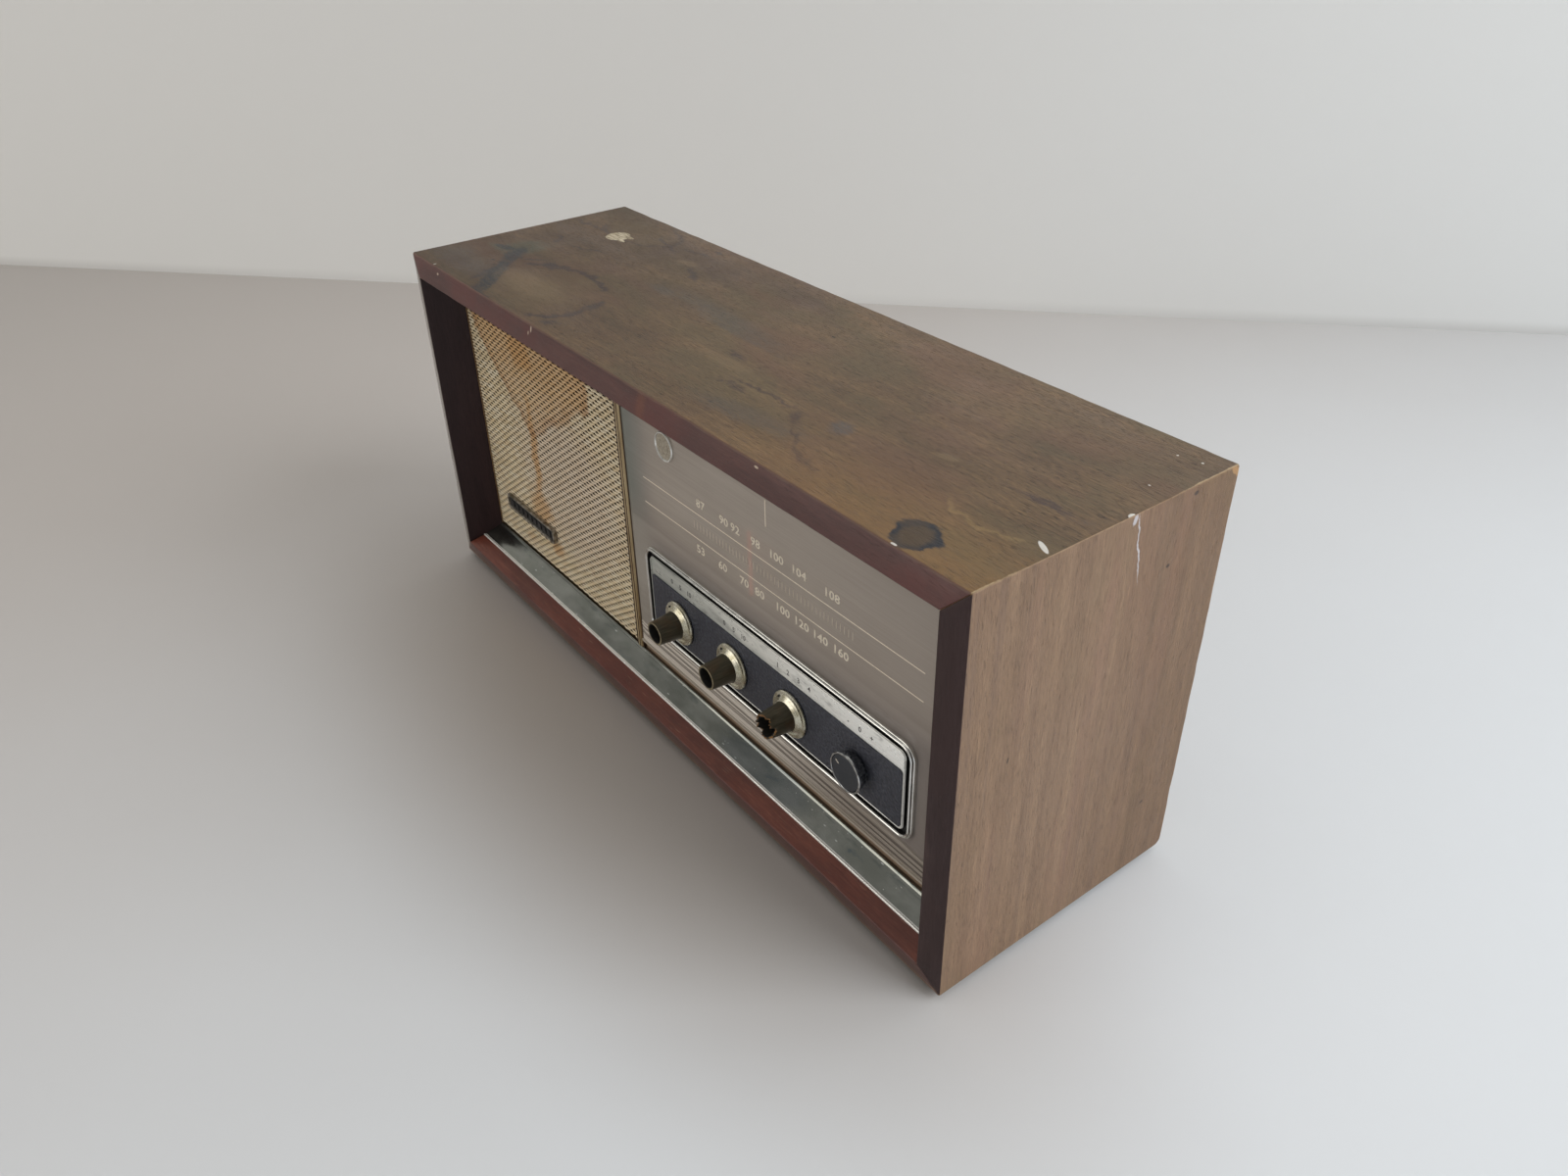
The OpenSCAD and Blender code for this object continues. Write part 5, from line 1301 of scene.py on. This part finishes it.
# %% Badge
tray = Finish("badge_tray", rough=0.4, metal=0.7, color=(150, 142, 128))
grime = tray.noise(0.6)
tray.paint(grime.step(0.35, 0.7).between((104, 96, 84), (184, 178, 166)), grime, 0.08,
    rough=grime.step(0.3, 0.7, 0.3, 0.55))
badge_black = Finish("badge_field", color=(30, 29, 30))
speck = badge_black.noise(1.5)
badge_black.paint(speck.step(0.5, 0.75, 0, 0.5).between((28, 27, 28), (70, 66, 60)), speck, 0.06)
BADGE = (-128.9, 45.3)
bm = bmesh.new()
framed(bm, 50, 8, 0.8, [(0, 0.1), (0, 1.5), (0.25, 1.85), (0.6, 1.9), (0.95, 1.7), (1.1, 1.2),
    (1.15, 0.1)], BADGE, -43.4, steps=5)
tidy_normals(bm)
field = bmesh.new()
plate(field, 48.2, 6.2, 0.3, 1.15, 0.1, BADGE, -43.4)
join(bm, field, 1)
bar = bmesh.new()
rule(bar, -1.5, 1.5, -1.7, 1.7, 0.0, 0.5)
bmesh.ops.bevel(bar, geom=list(bar.edges), offset=0.15, segments=2, affect="EDGES")
BARS, BAR_PITCH = 9, 4.9
join(bm, set_out("rows", bar, badge_black, Columns=BARS, Rows=1, Across=BAR_PITCH * MM, Up=0.001,
    Start=((BADGE[0] - (BARS - 1) / 2 * BAR_PITCH) * MM, -44.5 * MM, BADGE[1] * MM), Seed=6), 1)
outwards(bm)
keep_piece("badge_tray", bm, (tray, badge_black), stands_for=("grille_badge",),
    smooth=35)

# %% [markdown]
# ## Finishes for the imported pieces
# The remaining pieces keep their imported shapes: the feet, the rear cover and what stands on it,
# and everything inside. Each gets a finish with its own grain, film or sheen.

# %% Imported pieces
def mottled(name, dark, light, rough, metal=0.0, size=0.4, depth=0.05, **sockets):
    finish = Finish(name, rough=rough, metal=metal, **sockets)
    cloud = finish.noise(size, detail=5, rough=0.6)
    finish.paint(cloud.step(0.3, 0.7).between(dark, light), finish.noise(size * 3, detail=3), depth,
        rough=cloud.step(0.3, 0.7, max(rough - 0.08, 0.05), rough + 0.1))
    return finish

hardboard = Finish("hardboard", rough=0.7)
felt = hardboard.noise(2.2, detail=5, rough=0.65)
patches = hardboard.noise(0.02)
color = felt.ramp((0.3, (66, 48, 34)), (0.5, (88, 66, 48)), (0.7, (112, 88, 64)))
color = color.tint(patches.step(0.4, 0.65, 0, 0.35), (64, 50, 40))
hardboard.paint(color, felt, 0.12)
lacquered = Finish("dark_board", rough=0.8)
fuzz = lacquered.noise(1.5)
lacquered.paint(fuzz.ramp((0.3, (122, 100, 82)), (0.7, (160, 136, 114))), fuzz, 0.1)

def dress(nodes, finish):
    """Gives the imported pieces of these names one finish."""
    for node in nodes.split():
        mesh = bpy.data.objects[node].data
        mesh.materials.clear()
        mesh.materials.append(finish.material)

dress("rear_cover", hardboard)
dress("front_baffle", lacquered)
dress("corner_battens", raw_wood)
# Pieces, finish, its dark and its light shade, roughness, metal, size and depth of the mottling
packed = (
    ("terminal_screws fixing_screws control_nuts volume_shaft tone_shaft selector_shaft"
        " tuning_shaft pointer_rail",
        "turned_steel", (118, 118, 114), (170, 170, 166), 0.32, 1.0, 0.7),
    ("chassis volume_pot tone_pot lamp_holder speaker_frame",
        "zinc", (112, 114, 110), (156, 158, 152), 0.45, 0.85, 0.15, 0.08),
    ("feet cord_grommet", "rubber", (22, 22, 22), (40, 39, 38), 0.75, 0.0, 0.6, 0.1),
    ("if_cans transistors", "aluminium", (168, 168, 166), (206, 206, 204), 0.34, 1.0, 0.3),
    ("heat_sink transformer_core", "black_paint", (20, 20, 20), (38, 37, 36), 0.5, 0.0, 0.4),
    ("tuning_gang dial_drum cord_guides rod_holders",
        "ivory_plastic", (196, 188, 164), (222, 216, 196), 0.42, 0.0, 0.3, 0.03),
    ("terminal_strip circuit_board selector_switch",
        "laminate", (96, 60, 34), (132, 88, 52), 0.5, 0.0, 0.5, 0.06),
    ("tuning_bushing", "turned_brass", (150, 116, 60), (196, 160, 92), 0.3, 1.0, 0.5),
    ("electrolytic_capacitors", "blue_sleeve", (26, 42, 86), (40, 60, 112), 0.35, 0.0, 0.3),
    ("dial_cord", "waxed_cord", (176, 164, 130), (214, 204, 176), 0.6, 0.0, 2.0, 0.15),
    ("ferrite_rod", "ferrite", (34, 34, 36), (58, 58, 60), 0.5, 0.0, 0.5),
    ("speaker_magnet", "magnet", (38, 38, 40), (66, 66, 68), 0.5, 0.0, 0.3),
    ("transformer_coil", "coil_tape", (168, 142, 84), (204, 180, 122), 0.55, 0.0, 0.4),
    ("speaker_cone", "cone_paper", (28, 26, 24), (52, 48, 44), 0.85, 0.0, 0.8, 0.15),
)
for nodes, name, *look in packed:
    dress(nodes, mottled(name, *look))
# The pointer glows faintly though the dial lamp is off: a painted glow that lets it show through
# the panel.
dress("dial_pointer", mottled("pointer_enamel_painted_glow", (196, 60, 26), (226, 84, 40), 0.4, 0.0, 0.3,
    Emission_Color=tone(226, 84, 40), Emission_Strength=0.5))
dress("dial_lamp", mottled("lamp_glass", (210, 208, 196), (236, 234, 224), 0.1, 0.0, 0.5, 0.01,
    Transmission_Weight=0.8))
print("kinds of packed finish:", len(packed) + 5)

# %% [markdown]
# ## Floor, wall and light
# A pale painted floor meets a pale wall behind the radio. The light comes in soft and cool from
# the back right, so the front faces lie in a soft shade, and a weak warm fill opens them.

# %% Stage
def plain(name, left, right, rough):
    """Pale paint with painted light: darker and warmer on the left, brighter on the right, a
    painted shadow in front of the radio and painted shade far from it.
    """
    finish = Finish(name, rough=rough)
    cloud = finish.noise(0.004, detail=3)
    across = cloud * 120.0 + finish.axes()[0]
    # Painted light: brighter and cooler to the right, darker and warmer to the left.
    color = across.step(-420, 420).between(left, right)
    low = finish.axes()[2].step(10, 0)
    # Painted shadow of the radio on the floor in front of it.
    near = finish.oval((20, -70), (215, 90)).step(1.5, 0.3, 0.0, 0.6) * low
    # Painted shade, darker far from the radio.
    rim = finish.oval((150, -60), (800, 560)).step(0.7, 1.5, 0.0, 0.3) * low
    color = color.tint(rim, (150, 146, 142))
    finish.set("Base Color", color.tint(near, (156, 143, 131)))
    return finish

def stage_plane(name, corners, finish):
    mesh = bpy.data.meshes.new(name)
    mesh.from_pydata([Vector(c) for c in corners], [], [list(range(len(corners)))])
    mesh.materials.append(finish.material)
    plane = bpy.data.objects.new(name, mesh)
    bpy.context.scene.collection.objects.link(plane)

wall_a, wall_b = Vector((-0.946, -0.182, 0)), Vector((0.043, 0.730, 0))
along = (wall_b - wall_a).normalized()
wall_left, wall_right = wall_a - along * 6, wall_b + along * 6
toward = Vector((along.y, -along.x, 0))
stage_plane("floor", (wall_left, wall_left + toward * 8, wall_right + toward * 8, wall_right),
            plain("floor_paint", (188, 182, 177), (218, 221, 224), 0.55))
up = Vector((0, 0, 4))
stage_plane("wall", (wall_left, wall_right, wall_right + up, wall_left + up),
            plain("wall_paint", (230, 230, 228), (232, 234, 234), 0.8))

def soft_light(name, place, target, size, power, color):
    data = bpy.data.lights.new(name, "AREA")
    data.shape, data.size, data.size_y = "RECTANGLE", size[0], size[1]
    data.energy, data.color = power, color
    light = bpy.data.objects.new(name, data)
    light.location = place
    light.rotation_euler = (Vector(target) - Vector(place)).to_track_quat("-Z", "Y").to_euler()
    bpy.context.scene.collection.objects.link(light)

soft_light("window", (1.9, 1.0, 1.5), (0.1, 0, 0.05), (1.6, 1.6), 46, (0.94, 0.97, 1.0))
soft_light("ceiling", (-0.2, 0.3, 2.4), (0, 0, 0), (2.5, 2.5), 16, (1.0, 0.98, 0.95))
soft_light("front_fill", (-0.6, -1.7, 0.4), (0.05, 0, 0.08), (1.5, 1.0), 7.5, (1.0, 0.95, 0.88))
world = bpy.data.worlds.new("room")
bpy.context.scene.world = world
world.use_nodes = True
world.node_tree.nodes["Background"].inputs[0].default_value = (0.78, 0.76, 0.73, 1)
world.node_tree.nodes["Background"].inputs[1].default_value = 0.42
bpy.context.scene.view_settings.view_transform = "Standard"
